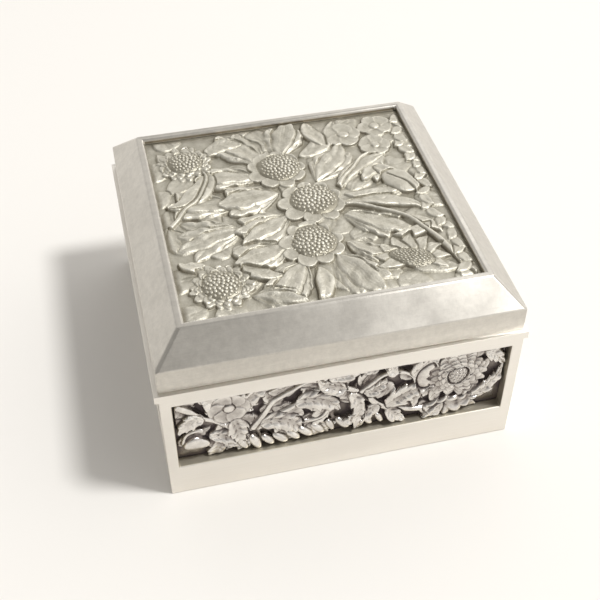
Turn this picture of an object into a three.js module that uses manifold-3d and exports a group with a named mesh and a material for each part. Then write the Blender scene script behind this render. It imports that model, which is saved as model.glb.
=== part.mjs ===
// Square cast pewter trinket box with relief panels and a lift-off lid.
// Units are millimetres and +Z is up. The origin is the centre of the underside, and the front faces -Y.
import * as THREE from "three";
import { mergeVertices } from "three/addons/utils/BufferGeometryUtils.js";
import Module from "manifold-3d";

const wasm = await Module();
wasm.setup();

// Lid frame: an upright band, a sloping bevel and a narrow flat rim round the relief
const LID_SIDE = 75;
const BAND_HEIGHT = 5.8;
const BEVEL_RUN = 5.5;
const BEVEL_RISE = 5.5;
const RIM_WIDTH = 1.6;
const LID_RECESS_DEPTH = 1.4;

// Ledge on top of the walls, which the lid stands on
const LEDGE_OVERHANG = 0.85;
const LEDGE_THICKNESS = 1.8;

// Walls, each with a window for its relief plaque
const WALL_HEIGHT = 29.3;
const WALL_THICKNESS = 3.8;
const WINDOW_DEPTH = 2.6;
const WINDOW_SIDE_MARGIN = 2.3;
const WINDOW_SILL_HEIGHT = 8.5;
const WINDOW_TOP_MARGIN = 1.7;

// Relief plaques, let into rebates from behind
const PLAQUE_LAP = 1;
const PLAQUE_CLEARANCE = 0.1;
const LID_PLAQUE_THICKNESS = 1.2;
const LID_PLAQUE_LAP = 1.5;
const FIELD_CLEARANCE = 0.3;

// Main forms of the lid's relief, with heights counted from the plaque's ground
const LID_LEAF_EDGE = 0.45;
const LID_LEAF_CROWN = 0.3;
const LID_STEM_WIDTH = 1.5;
const LID_STEM_HEIGHT = 0.8;
const LID_PETAL_HEIGHT = 0.6;
const LID_HEAD_HEIGHT = 1.2;

// Main forms of the walls' reliefs, which stand deeper
const WALL_LEAF_EDGE = 0.95;
const WALL_LEAF_CROWN = 0.4;
const WALL_STEM_WIDTH = 1.6;
const WALL_STEM_HEIGHT = 1.5;
const WALL_PETAL_HEIGHT = 1.25;
const WALL_HEAD_HEIGHT = 1.8;
const GRAIN_LENGTH = 4.4;
const GRAIN_WIDTH = 2.4;

// Collar that stands up inside the ledge and keeps the lid in place
const COLLAR_THICKNESS = 1;
const COLLAR_RISE = 4;
const COLLAR_DROP = 2;
const LID_CLEARANCE = 0.3;

// Base plate and the felt in the recess under it
const FELT_THICKNESS = 1;
const FELT_INSET = 1;
const BASE_THICKNESS = 1.6;

// Velvet linings on card
const LINING_THICKNESS = 1.6;
const FLOOR_PAD_THICKNESS = 3;
const LID_PAD_THICKNESS = 1.6;
const PAD_CLEARANCE = 0.3;
const PAD_EDGE = 0.5;

// Every cut runs past the faces that it opens by this much
const OVERRUN = 1;

// Derived levels, counted from the surface that the box stands on
const ledgeTop = WALL_HEIGHT + LEDGE_THICKNESS;
const baseBottom = FELT_THICKNESS;
const baseTop = baseBottom + BASE_THICKNESS;
const collarBottom = WALL_HEIGHT - COLLAR_DROP;
const collarTop = ledgeTop + COLLAR_RISE;
const windowTop = WALL_HEIGHT - WINDOW_TOP_MARGIN;

// Derived widths: the front and back walls are flush with the ledge, the side walls are set back under it
const ledgeSide = LID_SIDE + 2 * LEDGE_OVERHANG;
const innerWidth = LID_SIDE - 2 * WALL_THICKNESS;
const innerDepth = ledgeSide - 2 * WALL_THICKNESS;
const collarSide = innerWidth;
const lidInnerSide = collarSide + 2 * LID_CLEARANCE;
const plaqueThickness = WALL_THICKNESS - WINDOW_DEPTH;

// Derived heights inside the lid, counted from its lower edge
const lidHeight = BAND_HEIGHT + BEVEL_RISE;
const lidOpeningSide = LID_SIDE - 2 * (BEVEL_RUN + RIM_WIDTH);
const lidRebateSide = lidOpeningSide + 2 * LID_PLAQUE_LAP;
const rimUnderside = lidHeight - LID_RECESS_DEPTH;
const lidPlaqueUnderside = rimUnderside - LID_PLAQUE_THICKNESS;
const lidPadUnderside = lidPlaqueUnderside - LID_PAD_THICKNESS;

const satinPewter = new THREE.MeshStandardMaterial({ color: 0xc4bdb0, roughness: 0.36, metalness: 1 });
const castPewter = new THREE.MeshStandardMaterial({ color: 0xa9a399, roughness: 0.42, metalness: 1 });
const velvet = new THREE.MeshStandardMaterial({ color: 0x5a1420, roughness: 0.95, metalness: 0 });
const felt = new THREE.MeshStandardMaterial({ color: 0x24302a, roughness: 1, metalness: 0 });

// A closed solid for joining and cutting, from any closed geometry
function solidOf(geometry) {
  const bare = geometry.clone();
  bare.deleteAttribute("normal");
  bare.deleteAttribute("uv");
  const merged = mergeVertices(bare);
  const vertProperties = new Float32Array(merged.attributes.position.array);
  const triVerts = new Uint32Array(merged.index.array);
  return new wasm.Manifold(new wasm.Mesh({ numProp: 3, vertProperties, triVerts }));
}

function geometryOf(solid) {
  const mesh = solid.getMesh();
  const geometry = new THREE.BufferGeometry();
  geometry.setAttribute("position", new THREE.BufferAttribute(new Float32Array(mesh.vertProperties), 3));
  geometry.setIndex(new THREE.BufferAttribute(new Uint32Array(mesh.triVerts), 1));
  geometry.computeVertexNormals();
  return geometry;
}

// A block given by its lowest and highest corners
function block(low, high) {
  const size = high.map((value, axis) => value - low[axis]);
  const centre = high.map((value, axis) => (value + low[axis]) / 2);
  return new THREE.BoxGeometry(...size).translate(...centre);
}

// A mitred square ring. Each profile point is half the width across the ring and the height there.
function squareRing(profile) {
  const toCorner = Math.SQRT2;
  const points = profile.map(([halfSide, height]) => new THREE.Vector2(halfSide * toCorner, height));
  points.push(points[0].clone());
  const ring = new THREE.LatheGeometry(points, 4, Math.PI / 4);
  return ring.rotateX(Math.PI / 2);
}

// A flat strip bent into a square ring
function plainRing(outerSide, innerSide, bottom, top) {
  const outer = outerSide / 2;
  const inner = innerSide / 2;
  return squareRing([
    [inner, bottom],
    [outer, bottom],
    [outer, top],
    [inner, top],
  ]);
}

// A pad on a card, with its top edge eased all round
function pad(width, depth, bottom, top) {
  const halfWidth = width / 2 - PAD_EDGE;
  const halfDepth = depth / 2 - PAD_EDGE;
  const outline = new THREE.Shape([
    new THREE.Vector2(-halfWidth, -halfDepth),
    new THREE.Vector2(halfWidth, -halfDepth),
    new THREE.Vector2(halfWidth, halfDepth),
    new THREE.Vector2(-halfWidth, halfDepth),
  ]);
  const body = new THREE.ExtrudeGeometry(outline, {
    depth: top - bottom - 2 * PAD_EDGE,
    bevelEnabled: true,
    bevelThickness: PAD_EDGE,
    bevelSize: PAD_EDGE,
    bevelSegments: 1,
  });
  return body.translate(0, 0, bottom + PAD_EDGE);
}

function piece(name, geometry, material) {
  const mesh = new THREE.Mesh(geometry, material);
  mesh.name = name;
  return mesh;
}

// Relief forms are made in a panel's own frame: x to the right, y up the panel and z out of its ground.
// Each form is sunk to the middle of the plate that carries it.
const lidStyle = {
  sink: LID_PLAQUE_THICKNESS / 2,
  leafEdge: LID_LEAF_EDGE,
  leafCrown: LID_LEAF_CROWN,
  stemWidth: LID_STEM_WIDTH,
  stemHeight: LID_STEM_HEIGHT,
  petalHeight: LID_PETAL_HEIGHT,
  headHeight: LID_HEAD_HEIGHT,
};
const wallStyle = {
  sink: plaqueThickness / 2,
  leafEdge: WALL_LEAF_EDGE,
  leafCrown: WALL_LEAF_CROWN,
  stemWidth: WALL_STEM_WIDTH,
  stemHeight: WALL_STEM_HEIGHT,
  petalHeight: WALL_PETAL_HEIGHT,
  headHeight: WALL_HEAD_HEIGHT,
};

// A closed form from an outline, drawn anticlockwise, and a top that rises from it to its peaks.
// Each top face names three points, counted through the outline and then the peaks.
function raisedForm(outline, peaks, topFaces, sink) {
  const count = outline.length;
  const foot = outline.map((point) => new THREE.Vector3(point.x, point.y, -sink));
  const footStart = count + peaks.length;
  const faces = [...topFaces];
  outline.forEach((_, i) => {
    const next = (i + 1) % count;
    faces.push([i, footStart + i, footStart + next], [i, footStart + next, next]);
  });
  const flat = outline.map((point) => new THREE.Vector2(point.x, point.y));
  for (const [a, b, c] of THREE.ShapeUtils.triangulateShape(flat, [])) {
    faces.push([footStart + c, footStart + b, footStart + a]);
  }
  const geometry = new THREE.BufferGeometry();
  geometry.setFromPoints([...outline, ...peaks, ...foot]);
  geometry.setIndex(faces.flat());
  return geometry;
}

// A broad leaf whose fingers spread from its base, each with a peak in its middle
const PALM_SHARES = {
  outerReach: 0.84,
  notchReach: 0.74,
  shoulderReach: 0.5,
  shoulderTurn: 0.62,
  peakReach: 0.6,
};

function palmLeaf(base, tip, width, fingers, style) {
  const run = tip.clone().sub(base);
  const length = run.length();
  const facing = run.angle();
  const spread = Math.asin(Math.min(1, width / 2 / (PALM_SHARES.outerReach * length)));
  const pitch = (2 * spread) / (fingers - 1);
  const shoulderTurn = spread + pitch * PALM_SHARES.shoulderTurn;
  const edge = style.leafEdge;
  const at = (turn, reachShare, height) => {
    const reach = length * reachShare;
    const angle = facing + turn;
    return new THREE.Vector3(base.x + reach * Math.cos(angle), base.y + reach * Math.sin(angle), height);
  };
  const outline = [at(0, 0, edge), at(-shoulderTurn, PALM_SHARES.shoulderReach, edge)];
  const peaks = [];
  for (let finger = 0; finger < fingers; finger += 1) {
    const turn = finger * pitch - spread;
    const reachShare = 1 - (1 - PALM_SHARES.outerReach) * Math.abs(turn / spread);
    const last = finger === fingers - 1;
    const besideTurn = last ? shoulderTurn : turn + pitch / 2;
    const besideReach = last ? PALM_SHARES.shoulderReach : PALM_SHARES.notchReach;
    outline.push(at(turn, reachShare, edge), at(besideTurn, besideReach, edge));
    peaks.push(at(turn, reachShare * PALM_SHARES.peakReach, edge + style.leafCrown));
  }
  const topFaces = peaks.flatMap((_, finger) => {
    const right = 1 + 2 * finger;
    const peak = outline.length + finger;
    return [
      [0, right, peak],
      [right, right + 1, peak],
      [right + 1, right + 2, peak],
      [right + 2, 0, peak],
    ];
  });
  return raisedForm(outline, peaks, topFaces, style.sink);
}

// A narrow leaf with a ridge, bent to its left by a share of its length
const BLADE_SHARES = { near: 0.28, far: 0.66, nearWidth: 0.92, farWidth: 0.86 };

function bladeLeaf(base, tip, width, bendShare, style) {
  const run = tip.clone().sub(base);
  const left = new THREE.Vector2(-run.y, run.x);
  const { near, far, nearWidth, farWidth } = BLADE_SHARES;
  const edge = style.leafEdge;
  const ridge = edge + style.leafCrown;
  const place = (share, side, height) => {
    const bow = bendShare * 4 * share * (1 - share);
    const point = base.clone().addScaledVector(run, share).addScaledVector(left, bow);
    point.addScaledVector(left, (side * width) / (2 * run.length()));
    return new THREE.Vector3(point.x, point.y, height);
  };
  const outline = [
    place(0, 0, edge),
    place(near, -nearWidth, edge),
    place(far, -farWidth, edge),
    place(1, 0, edge),
    place(far, farWidth, edge),
    place(near, nearWidth, edge),
  ];
  const peaks = [place(near, 0, ridge), place(far, 0, ridge)];
  const topFaces = [
    [0, 1, 6],
    [6, 1, 2],
    [6, 2, 7],
    [2, 3, 7],
    [3, 4, 7],
    [6, 7, 4],
    [6, 4, 5],
    [5, 0, 6],
  ];
  return raisedForm(outline, peaks, topFaces, style.sink);
}

// A flat outline made solid, from the middle of the plate up to a height
function slabOf(points, height, style) {
  const settings = { depth: style.sink + height, bevelEnabled: false };
  const slab = new THREE.ExtrudeGeometry(new THREE.Shape(points), settings);
  return slab.translate(0, 0, -style.sink);
}

// A ring of petals: a flat disc with lobes along its edge, each of three points
const POINTS_PER_LOBE = 3;
const LOBE_DEPTH_SHARE = 0.16;

function petals(centre, radius, lobes, style) {
  const points = [];
  for (let i = 0; i < POINTS_PER_LOBE * lobes; i += 1) {
    const reach = i % POINTS_PER_LOBE === 0 ? radius * (1 - LOBE_DEPTH_SHARE) : radius;
    const angle = (2 * Math.PI * i) / (POINTS_PER_LOBE * lobes);
    points.push(new THREE.Vector2(centre.x + reach * Math.cos(angle), centre.y + reach * Math.sin(angle)));
  }
  return slabOf(points, style.petalHeight, style);
}

// A domed head, round or oval, of which the upper half shows
const HEAD_SIDES = 9;
const HEAD_RINGS = 6;

function head(centre, halfLength, halfWidth, turn, style) {
  const ball = new THREE.SphereGeometry(1, HEAD_SIDES, HEAD_RINGS);
  ball.rotateX(Math.PI / 2);
  ball.scale(halfLength, halfWidth, style.headHeight);
  ball.rotateZ(turn);
  return ball.translate(centre.x, centre.y, 0);
}

// A stem with a ridged back, along a smooth line
const STEM_STEPS_PER_POINT = 2;

function stem(points, style) {
  const line = new THREE.CatmullRomCurve3(points.map((point) => new THREE.Vector3(point.x, point.y, 0)));
  const side = style.stemWidth / 2;
  const section = new THREE.Shape([
    new THREE.Vector2(style.sink, -side),
    new THREE.Vector2(style.sink, side),
    new THREE.Vector2(-style.leafEdge, side),
    new THREE.Vector2(-style.stemHeight, 0),
    new THREE.Vector2(-style.leafEdge, -side),
  ]);
  const steps = STEM_STEPS_PER_POINT * points.length;
  return new THREE.ExtrudeGeometry(section, { steps, extrudePath: line, bevelEnabled: false });
}

// Lobes and the share of the radius that the head takes, for each kind of flower
const FLOWER_SHARES = {
  blossom: { lobes: 9, head: 0.64 },
  ruffled: { lobes: 10, head: 0.45 },
  rose: { lobes: 5, head: 0.32 },
};

// A design is drawn in shares of half the field: x of half its length, all else of half its height.
// Palms are base, tip, width and fingers; blades are base, tip, width and bend; stems are points;
// flowers are centre, radius and kind; ovals are centre, half length, half width and turn.
const LID_DESIGN_SHARES = {
  palms: [
    [-0.16, 0.56, -0.48, 0.95, 0.36, 3],
    [-0.03, 0.59, 0.11, 1.02, 0.34, 3],
    [-0.23, 0.38, -0.71, 0.44, 0.32, 3],
    [-0.46, 0.1, -0.97, 0.2, 0.33, 3],
    [-0.13, 0.16, -0.61, 0.12, 0.35, 3],
    [-0.46, -0.16, -0.97, -0.23, 0.36, 4],
    [-0.1, -0.08, -0.54, -0.29, 0.35, 4],
    [-0.2, -0.39, -0.61, -0.55, 0.31, 3],
    [-0.13, -0.59, -0.41, -1.0, 0.33, 3],
    [0.1, -0.56, 0.32, -1.03, 0.34, 3],
    [0.16, 0.25, 0.48, 0.66, 0.31, 3],
    [0.26, -0.16, 0.67, -0.44, 0.31, 3],
    [0.72, 0.43, 0.48, 0.14, 0.22, 3],
    [-0.53, -0.84, -0.18, -0.97, 0.22, 3],
    [0.2, -0.46, 0.48, -0.68, 0.22, 3],
  ],
  blades: [
    [0.12, 0.56, 0.48, 0.97, 0.17, -0.12],
    [-0.58, 0.51, -0.93, 0.15, 0.18, 0.14],
    [-0.58, 0.72, -0.26, 0.82, 0.16, 0.15],
    [-0.53, -0.55, -0.29, -0.69, 0.14, -0.15],
    [0.31, 0.13, 0.76, 0.45, 0.13, 0.12],
    [0.34, 0.05, 0.83, 0.07, 0.13, -0.12],
    [0.33, -0.05, 0.86, -0.26, 0.13, 0.12],
    [0.36, 0.66, 0.27, 1.0, 0.15, 0.14],
    [-0.05, -0.66, -0.12, -1.02, 0.14, 0.12],
  ],
  stems: [
    [
      [-0.95, -0.05],
      [-0.69, 0.26],
      [-0.61, 0.46],
      [-0.65, 0.56],
    ],
    [
      [0.93, -0.97],
      [0.83, -0.59],
      [0.66, -0.28],
      [0.43, -0.11],
      [0.3, -0.07],
    ],
  ],
  flowers: [
    [-0.08, 0.45, 0.24, "blossom"],
    [0.09, 0.02, 0.26, "blossom"],
    [-0.03, -0.42, 0.25, "blossom"],
    [-0.74, 0.68, 0.21, "ruffled"],
    [-0.71, -0.7, 0.22, "ruffled"],
    [0.5, 0.75, 0.15, "rose"],
    [0.77, 0.82, 0.14, "rose"],
    [0.7, 0.57, 0.13, "rose"],
  ],
  ovals: [
    [0.59, -0.72, 0.17, 0.11, -0.5],
    [0.74, 0.1, 0.16, 0.1, -1.1],
  ],
};
const WALL_DESIGN_SHARES = {
  palms: [],
  blades: [
    [-0.5, -0.21, -0.23, -0.68, 0.59, 0.15],
    [-0.67, 0.05, -0.43, 0.84, 0.65, 0.15],
    [-0.3, 0.27, -0.01, -0.23, 0.61, 0.16],
    [0.01, 0.4, -0.16, 0.96, 0.48, 0.1],
    [0.11, 0.17, 0.27, 0.46, 0.46, -0.15],
    [0.27, -0.44, 0.57, -0.06, 0.61, 0.16],
    [0.21, -0.26, -0.01, -0.59, 0.54, 0.16],
    [0.5, -0.66, 0.9, -0.46, 0.54, -0.12],
    [0.43, 0.42, 0.61, 0.94, 0.48, 0.15],
    [0.8, -0.58, 0.99, 0.31, 0.44, -0.15],
    [-0.83, 0.31, -0.99, 0, 0.44, -0.15],
    [-0.81, -0.31, -0.58, -0.73, 0.5, 0.12],
    [0.03, 0.26, 0.07, -0.89, 0.44, 0.15],
    [-0.73, 0.31, -0.85, 0.96, 0.48, -0.12],
  ],
  stems: [
    [
      [-0.98, 0.79],
      [-0.77, 0.16],
      [-0.54, -0.31],
      [-0.31, 0.16],
      [-0.11, 0.58],
      [0.1, 0.21],
      [0.26, -0.42],
      [0.48, -0.68],
      [0.77, -0.63],
      [0.98, -0.21],
    ],
    [
      [-0.54, -0.31],
      [-0.4, 0.47],
      [-0.23, 0.79],
      [-0.09, 0.92],
    ],
  ],
  flowers: [
    [-0.68, 0.46, 0.46, "rose"],
    [0.7, 0.19, 0.72, "ruffled"],
  ],
  ovals: [
    [0.51, 0.36, 0.4, 0.22, 1.45],
    [-0.89, -0.52, 0.26, 0.2, 0.2],
  ],
};

// The forms of a design on a field of a half length and a half height. A way of -1 turns the design round.
function designForms(design, halfLength, halfHeight, way, style) {
  const at = (x, y) => new THREE.Vector2(way * x * halfLength, y * halfHeight);
  const forms = [];
  for (const [x0, y0, x1, y1, width, fingers] of design.palms) {
    forms.push(palmLeaf(at(x0, y0), at(x1, y1), width * halfHeight, fingers, style));
  }
  for (const [x0, y0, x1, y1, width, bend] of design.blades) {
    forms.push(bladeLeaf(at(x0, y0), at(x1, y1), width * halfHeight, way * bend, style));
  }
  for (const route of design.stems) {
    forms.push(stem(route.map(([x, y]) => at(x, y)), style));
  }
  for (const [x, y, radiusShare, kind] of design.flowers) {
    const flower = FLOWER_SHARES[kind];
    const radius = radiusShare * halfHeight;
    forms.push(petals(at(x, y), radius, flower.lobes, style));
    forms.push(head(at(x, y), radius * flower.head, radius * flower.head, 0, style));
  }
  for (const [x, y, halfLong, halfWide, turn] of design.ovals) {
    forms.push(head(at(x, y), halfLong * halfHeight, halfWide * halfHeight, way * turn, style));
  }
  return forms;
}

// A stem of scale leaves up the right edge of the lid's field, its edges toothed
const SCALE_STEM_SHARES = { x: 0.92, sway: 0.03, halfWidth: 0.08 };
const SCALE_STEM_TEETH = 10;

function scaleStem(half, style) {
  const { x, sway, halfWidth } = SCALE_STEM_SHARES;
  const edge = (side) => {
    const points = [];
    for (let i = 0; i < 2 * SCALE_STEM_TEETH; i += 1) {
      const along = (i + 1 / 2) / SCALE_STEM_TEETH - 1;
      const middle = x + sway * Math.cos(along * 2 * Math.PI);
      const reach = i % 2 === 0 ? halfWidth : halfWidth / 2;
      points.push(new THREE.Vector2((middle + side * reach) * half, along * half));
    }
    return points;
  };
  return slabOf([...edge(1), ...edge(-1).reverse()], style.petalHeight, style);
}

// An ear of grain along the foot of a wall's field, each grain a slanted diamond
const EAR_SHARES = { from: -0.61, to: 0.23, y: -0.74 };
const EAR_GRAINS = 14;
const GRAIN_TURN = -0.7;

function earOfGrain(halfLength, halfHeight, way, style) {
  const grains = [];
  for (let i = 0; i < EAR_GRAINS; i += 1) {
    const x = THREE.MathUtils.lerp(EAR_SHARES.from, EAR_SHARES.to, i / (EAR_GRAINS - 1));
    const grain = new THREE.OctahedronGeometry(1);
    grain.scale(GRAIN_LENGTH / 2, GRAIN_WIDTH / 2, style.headHeight);
    grain.rotateZ(way * GRAIN_TURN);
    grains.push(grain.translate(way * x * halfLength, EAR_SHARES.y * halfHeight, 0));
  }
  return grains;
}

// Joins forms and trims them to the field that shows in the opening, no higher than a reach
function relief(forms, halfLength, halfHeight, reach, style) {
  const field = block([-halfLength, -halfHeight, -style.sink], [halfLength, halfHeight, reach]);
  const joined = forms.map(solidOf).reduce((whole, form) => whole.add(form));
  return geometryOf(joined.intersect(solidOf(field)));
}

// A wall in its own frame: x along it, y inwards from its outer face, z up from its foot
function wall(length) {
  const half = length / 2;
  const windowHalf = half - WINDOW_SIDE_MARGIN;
  const rebateHalf = windowHalf + PLAQUE_LAP;
  const slab = block([-half, 0, 0], [half, WALL_THICKNESS, WALL_HEIGHT]);
  const opening = block(
    [-windowHalf, -OVERRUN, WINDOW_SILL_HEIGHT],
    [windowHalf, WALL_THICKNESS + OVERRUN, windowTop],
  );
  const rebate = block(
    [-rebateHalf, WINDOW_DEPTH, WINDOW_SILL_HEIGHT - PLAQUE_LAP],
    [rebateHalf, WALL_THICKNESS + OVERRUN, windowTop + PLAQUE_LAP],
  );
  return geometryOf(solidOf(slab).subtract(solidOf(opening)).subtract(solidOf(rebate)));
}

// The plaque behind a wall's window, with its carving standing forward in the window
function wallPlaque(length, way) {
  const fieldHalf = length / 2 - WINDOW_SIDE_MARGIN - FIELD_CLEARANCE;
  const fieldHalfHeight = (windowTop - WINDOW_SILL_HEIGHT) / 2 - FIELD_CLEARANCE;
  const plateHalf = length / 2 - WINDOW_SIDE_MARGIN + PLAQUE_LAP - PLAQUE_CLEARANCE;
  const plateLow = WINDOW_SILL_HEIGHT - PLAQUE_LAP + PLAQUE_CLEARANCE;
  const plateHigh = windowTop + PLAQUE_LAP - PLAQUE_CLEARANCE;
  const plate = block([-plateHalf, WINDOW_DEPTH, plateLow], [plateHalf, WALL_THICKNESS, plateHigh]);
  const forms = [
    ...designForms(WALL_DESIGN_SHARES, fieldHalf, fieldHalfHeight, way, wallStyle),
    ...earOfGrain(fieldHalf, fieldHalfHeight, way, wallStyle),
  ];
  const carving = relief(forms, fieldHalf, fieldHalfHeight, WINDOW_DEPTH - FIELD_CLEARANCE, wallStyle);
  carving.rotateX(Math.PI / 2);
  carving.translate(0, WINDOW_DEPTH, (windowTop + WINDOW_SILL_HEIGHT) / 2);
  return geometryOf(solidOf(plate).add(solidOf(carving)));
}

// The card strip that lines a wall, in the wall's own frame
function wallLining(length) {
  const bottom = baseTop;
  const top = collarBottom - PAD_CLEARANCE;
  const strip = pad(length - 2 * PAD_CLEARANCE, top - bottom, 0, LINING_THICKNESS);
  strip.rotateX(Math.PI / 2);
  return strip.translate(0, WALL_THICKNESS + LINING_THICKNESS, (top + bottom) / 2);
}

// One side of the box: its wall, its plaque and its lining
function side(name, length, liningLength, way) {
  const group = new THREE.Group();
  group.add(piece(`${name}_wall`, wall(length), satinPewter));
  group.add(piece(`${name}_relief`, wallPlaque(length, way), castPewter));
  group.add(piece(`${name}_lining`, wallLining(liningLength), velvet));
  return group;
}

function boxBody() {
  const group = new THREE.Group();
  const sideLiningLength = innerDepth - 2 * LINING_THICKNESS;
  const front = side("front", LID_SIDE, innerWidth, 1);
  const back = side("back", LID_SIDE, innerWidth, -1);
  const left = side("left", innerDepth, sideLiningLength, 1);
  const right = side("right", innerDepth, sideLiningLength, -1);
  front.position.y = -ledgeSide / 2;
  back.position.y = ledgeSide / 2;
  back.rotation.z = Math.PI;
  left.position.x = -LID_SIDE / 2;
  left.rotation.z = -Math.PI / 2;
  right.position.x = LID_SIDE / 2;
  right.rotation.z = Math.PI / 2;
  group.add(front, back, left, right);

  const basePlate = block(
    [-innerWidth / 2, -innerDepth / 2, baseBottom],
    [innerWidth / 2, innerDepth / 2, baseTop],
  );
  const feltHalfWidth = innerWidth / 2 - FELT_INSET;
  const feltHalfDepth = innerDepth / 2 - FELT_INSET;
  const baseFelt = block([-feltHalfWidth, -feltHalfDepth, 0], [feltHalfWidth, feltHalfDepth, baseBottom]);
  const padWidth = innerWidth - 2 * (LINING_THICKNESS + PAD_CLEARANCE);
  const padDepth = innerDepth - 2 * (LINING_THICKNESS + PAD_CLEARANCE);
  group.add(piece("base_plate", basePlate, satinPewter));
  group.add(piece("base_felt", baseFelt, felt));
  group.add(piece("floor_pad", pad(padWidth, padDepth, baseTop, baseTop + FLOOR_PAD_THICKNESS), velvet));

  const ledge = plainRing(ledgeSide, collarSide, WALL_HEIGHT, ledgeTop);
  const collar = plainRing(collarSide, collarSide - 2 * COLLAR_THICKNESS, collarBottom, collarTop);
  group.add(piece("rim_ledge", ledge, satinPewter));
  group.add(piece("locating_collar", collar, satinPewter));
  return group;
}

function lidFrame() {
  const outer = LID_SIDE / 2;
  const inner = lidInnerSide / 2;
  const rebate = lidRebateSide / 2;
  const slopeFall = inner - rebate;
  return squareRing([
    [inner, 0],
    [outer, 0],
    [outer, BAND_HEIGHT],
    [outer - BEVEL_RUN, lidHeight],
    [lidOpeningSide / 2, lidHeight],
    [lidOpeningSide / 2, rimUnderside],
    [rebate, rimUnderside],
    [rebate, lidPadUnderside],
    [inner, lidPadUnderside - slopeFall],
  ]);
}

function lidPlaque() {
  const plateHalf = lidRebateSide / 2 - PLAQUE_CLEARANCE;
  const fieldHalf = lidOpeningSide / 2 - FIELD_CLEARANCE;
  const plate = block([-plateHalf, -plateHalf, lidPlaqueUnderside], [plateHalf, plateHalf, rimUnderside]);
  const forms = [
    ...designForms(LID_DESIGN_SHARES, fieldHalf, fieldHalf, 1, lidStyle),
    scaleStem(fieldHalf, lidStyle),
  ];
  const carving = relief(forms, fieldHalf, fieldHalf, LID_RECESS_DEPTH, lidStyle);
  carving.translate(0, 0, rimUnderside);
  return geometryOf(solidOf(plate).add(solidOf(carving)));
}

function lid() {
  const group = new THREE.Group();
  const padSide = lidRebateSide - 2 * PAD_CLEARANCE;
  group.add(piece("lid_frame", lidFrame(), satinPewter));
  group.add(piece("lid_relief", lidPlaque(), castPewter));
  group.add(piece("lid_pad", pad(padSide, padSide, lidPadUnderside, lidPlaqueUnderside), velvet));
  group.position.z = ledgeTop;
  return group;
}

const trinketBox = new THREE.Group();
trinketBox.add(boxBody(), lid());

export default trinketBox;
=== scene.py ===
"""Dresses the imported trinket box: brushed pewter frames, carved relief plaques and velvet linings."""
from __future__ import annotations

import logging
import math
from dataclasses import dataclass, field, replace
from enum import Enum
from typing import Any, Callable, Iterable

import bmesh
import bpy
import numpy as np
from mathutils import Matrix, Quaternion, Vector


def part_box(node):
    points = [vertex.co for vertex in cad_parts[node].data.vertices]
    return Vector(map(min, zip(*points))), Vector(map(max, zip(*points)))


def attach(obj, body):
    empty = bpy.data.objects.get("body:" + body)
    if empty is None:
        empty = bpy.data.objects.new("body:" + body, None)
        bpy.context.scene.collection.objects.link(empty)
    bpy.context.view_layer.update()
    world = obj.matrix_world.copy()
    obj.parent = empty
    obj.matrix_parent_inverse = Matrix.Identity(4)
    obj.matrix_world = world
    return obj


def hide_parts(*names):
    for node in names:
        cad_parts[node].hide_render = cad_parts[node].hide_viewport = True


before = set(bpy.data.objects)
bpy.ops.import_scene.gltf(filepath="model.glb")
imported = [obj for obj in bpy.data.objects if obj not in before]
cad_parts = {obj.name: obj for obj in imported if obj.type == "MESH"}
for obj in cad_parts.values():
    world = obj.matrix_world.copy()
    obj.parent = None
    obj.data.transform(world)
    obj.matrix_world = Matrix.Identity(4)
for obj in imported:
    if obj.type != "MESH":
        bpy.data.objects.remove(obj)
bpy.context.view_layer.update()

MM = 0.001
GOLDEN_ANGLE = math.pi * (3 - math.sqrt(5))
LOG = logging.getLogger("trinket_box")

# How near two places are, in millimetres, to count as one.
SAME_MM = 0.02

Point = tuple[float, float]
Span = tuple[float, float]
Cells = tuple[slice, slice]
PlaceTest = Callable[[Vector], bool]
FaceTest = Callable[[bpy.types.MeshPolygon], bool]


# Small helpers

def linear(code: str) -> tuple[float, float, float, float]:
    """Turns an sRGB hex colour into a linear one.

    Args:
        code: The colour as six hex digits.

    Returns:
        Linear red, green, blue and an alpha of one.
    """
    parts = [int(code[i:i + 2], 16) / 255 for i in (0, 2, 4)]
    return tuple(c / 12.92 if c <= 0.04045 else ((c + 0.055) / 1.055) ** 2.4 for c in parts) + (1.0,)


def add(tree: bpy.types.NodeTree, kind: str, settings: dict[Any, Any] | None = None,
        links: dict[Any, bpy.types.NodeSocket] | None = None) -> bpy.types.Node:
    """Adds a node.

    Args:
        tree: The tree to add to.
        kind: The node's type.
        settings: Values for its properties, or for its inputs by name or number.
        links: Outputs to link to its inputs, by the input's name or number.

    Returns:
        The new node.
    """
    node = tree.nodes.new(kind)
    for key, value in (settings or {}).items():
        if isinstance(key, str) and hasattr(node, key):
            setattr(node, key, value)
        else:
            node.inputs[key].default_value = value
    for key, output in (links or {}).items():
        tree.links.new(output, node.inputs[key])
    return node


def smooth(x: np.ndarray) -> np.ndarray:
    """Eases a ramp from 0 to 1 at both ends."""
    x = np.clip(x, 0, 1)
    return x * x * (3 - 2 * x)


def blur(grid: np.ndarray, sigma: float) -> np.ndarray:
    """Blurs a grid.

    Args:
        grid: The values.
        sigma: The blur's radius in cells.

    Returns:
        The blurred values.
    """
    reach = max(1, math.ceil(3 * sigma))
    kernel = np.exp(-0.5 * (np.arange(-reach, reach + 1) / sigma) ** 2)
    kernel /= kernel.sum()
    for axis in (0, 1):
        wide = np.pad(grid, [(reach, reach) if a == axis else (0, 0) for a in (0, 1)], mode="edge")
        grid = sum(w * wide.take(range(i, i + grid.shape[axis]), axis) for i, w in enumerate(kernel))
    return grid


def new_object(name: str, data: bpy.types.ID) -> bpy.types.Object:
    """Links a new object.

    Args:
        name: Its name.
        data: The mesh, camera or lamp that it holds.

    Returns:
        The new object.
    """
    obj = bpy.data.objects.new(name, data)
    bpy.context.scene.collection.objects.link(obj)
    return obj


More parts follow.
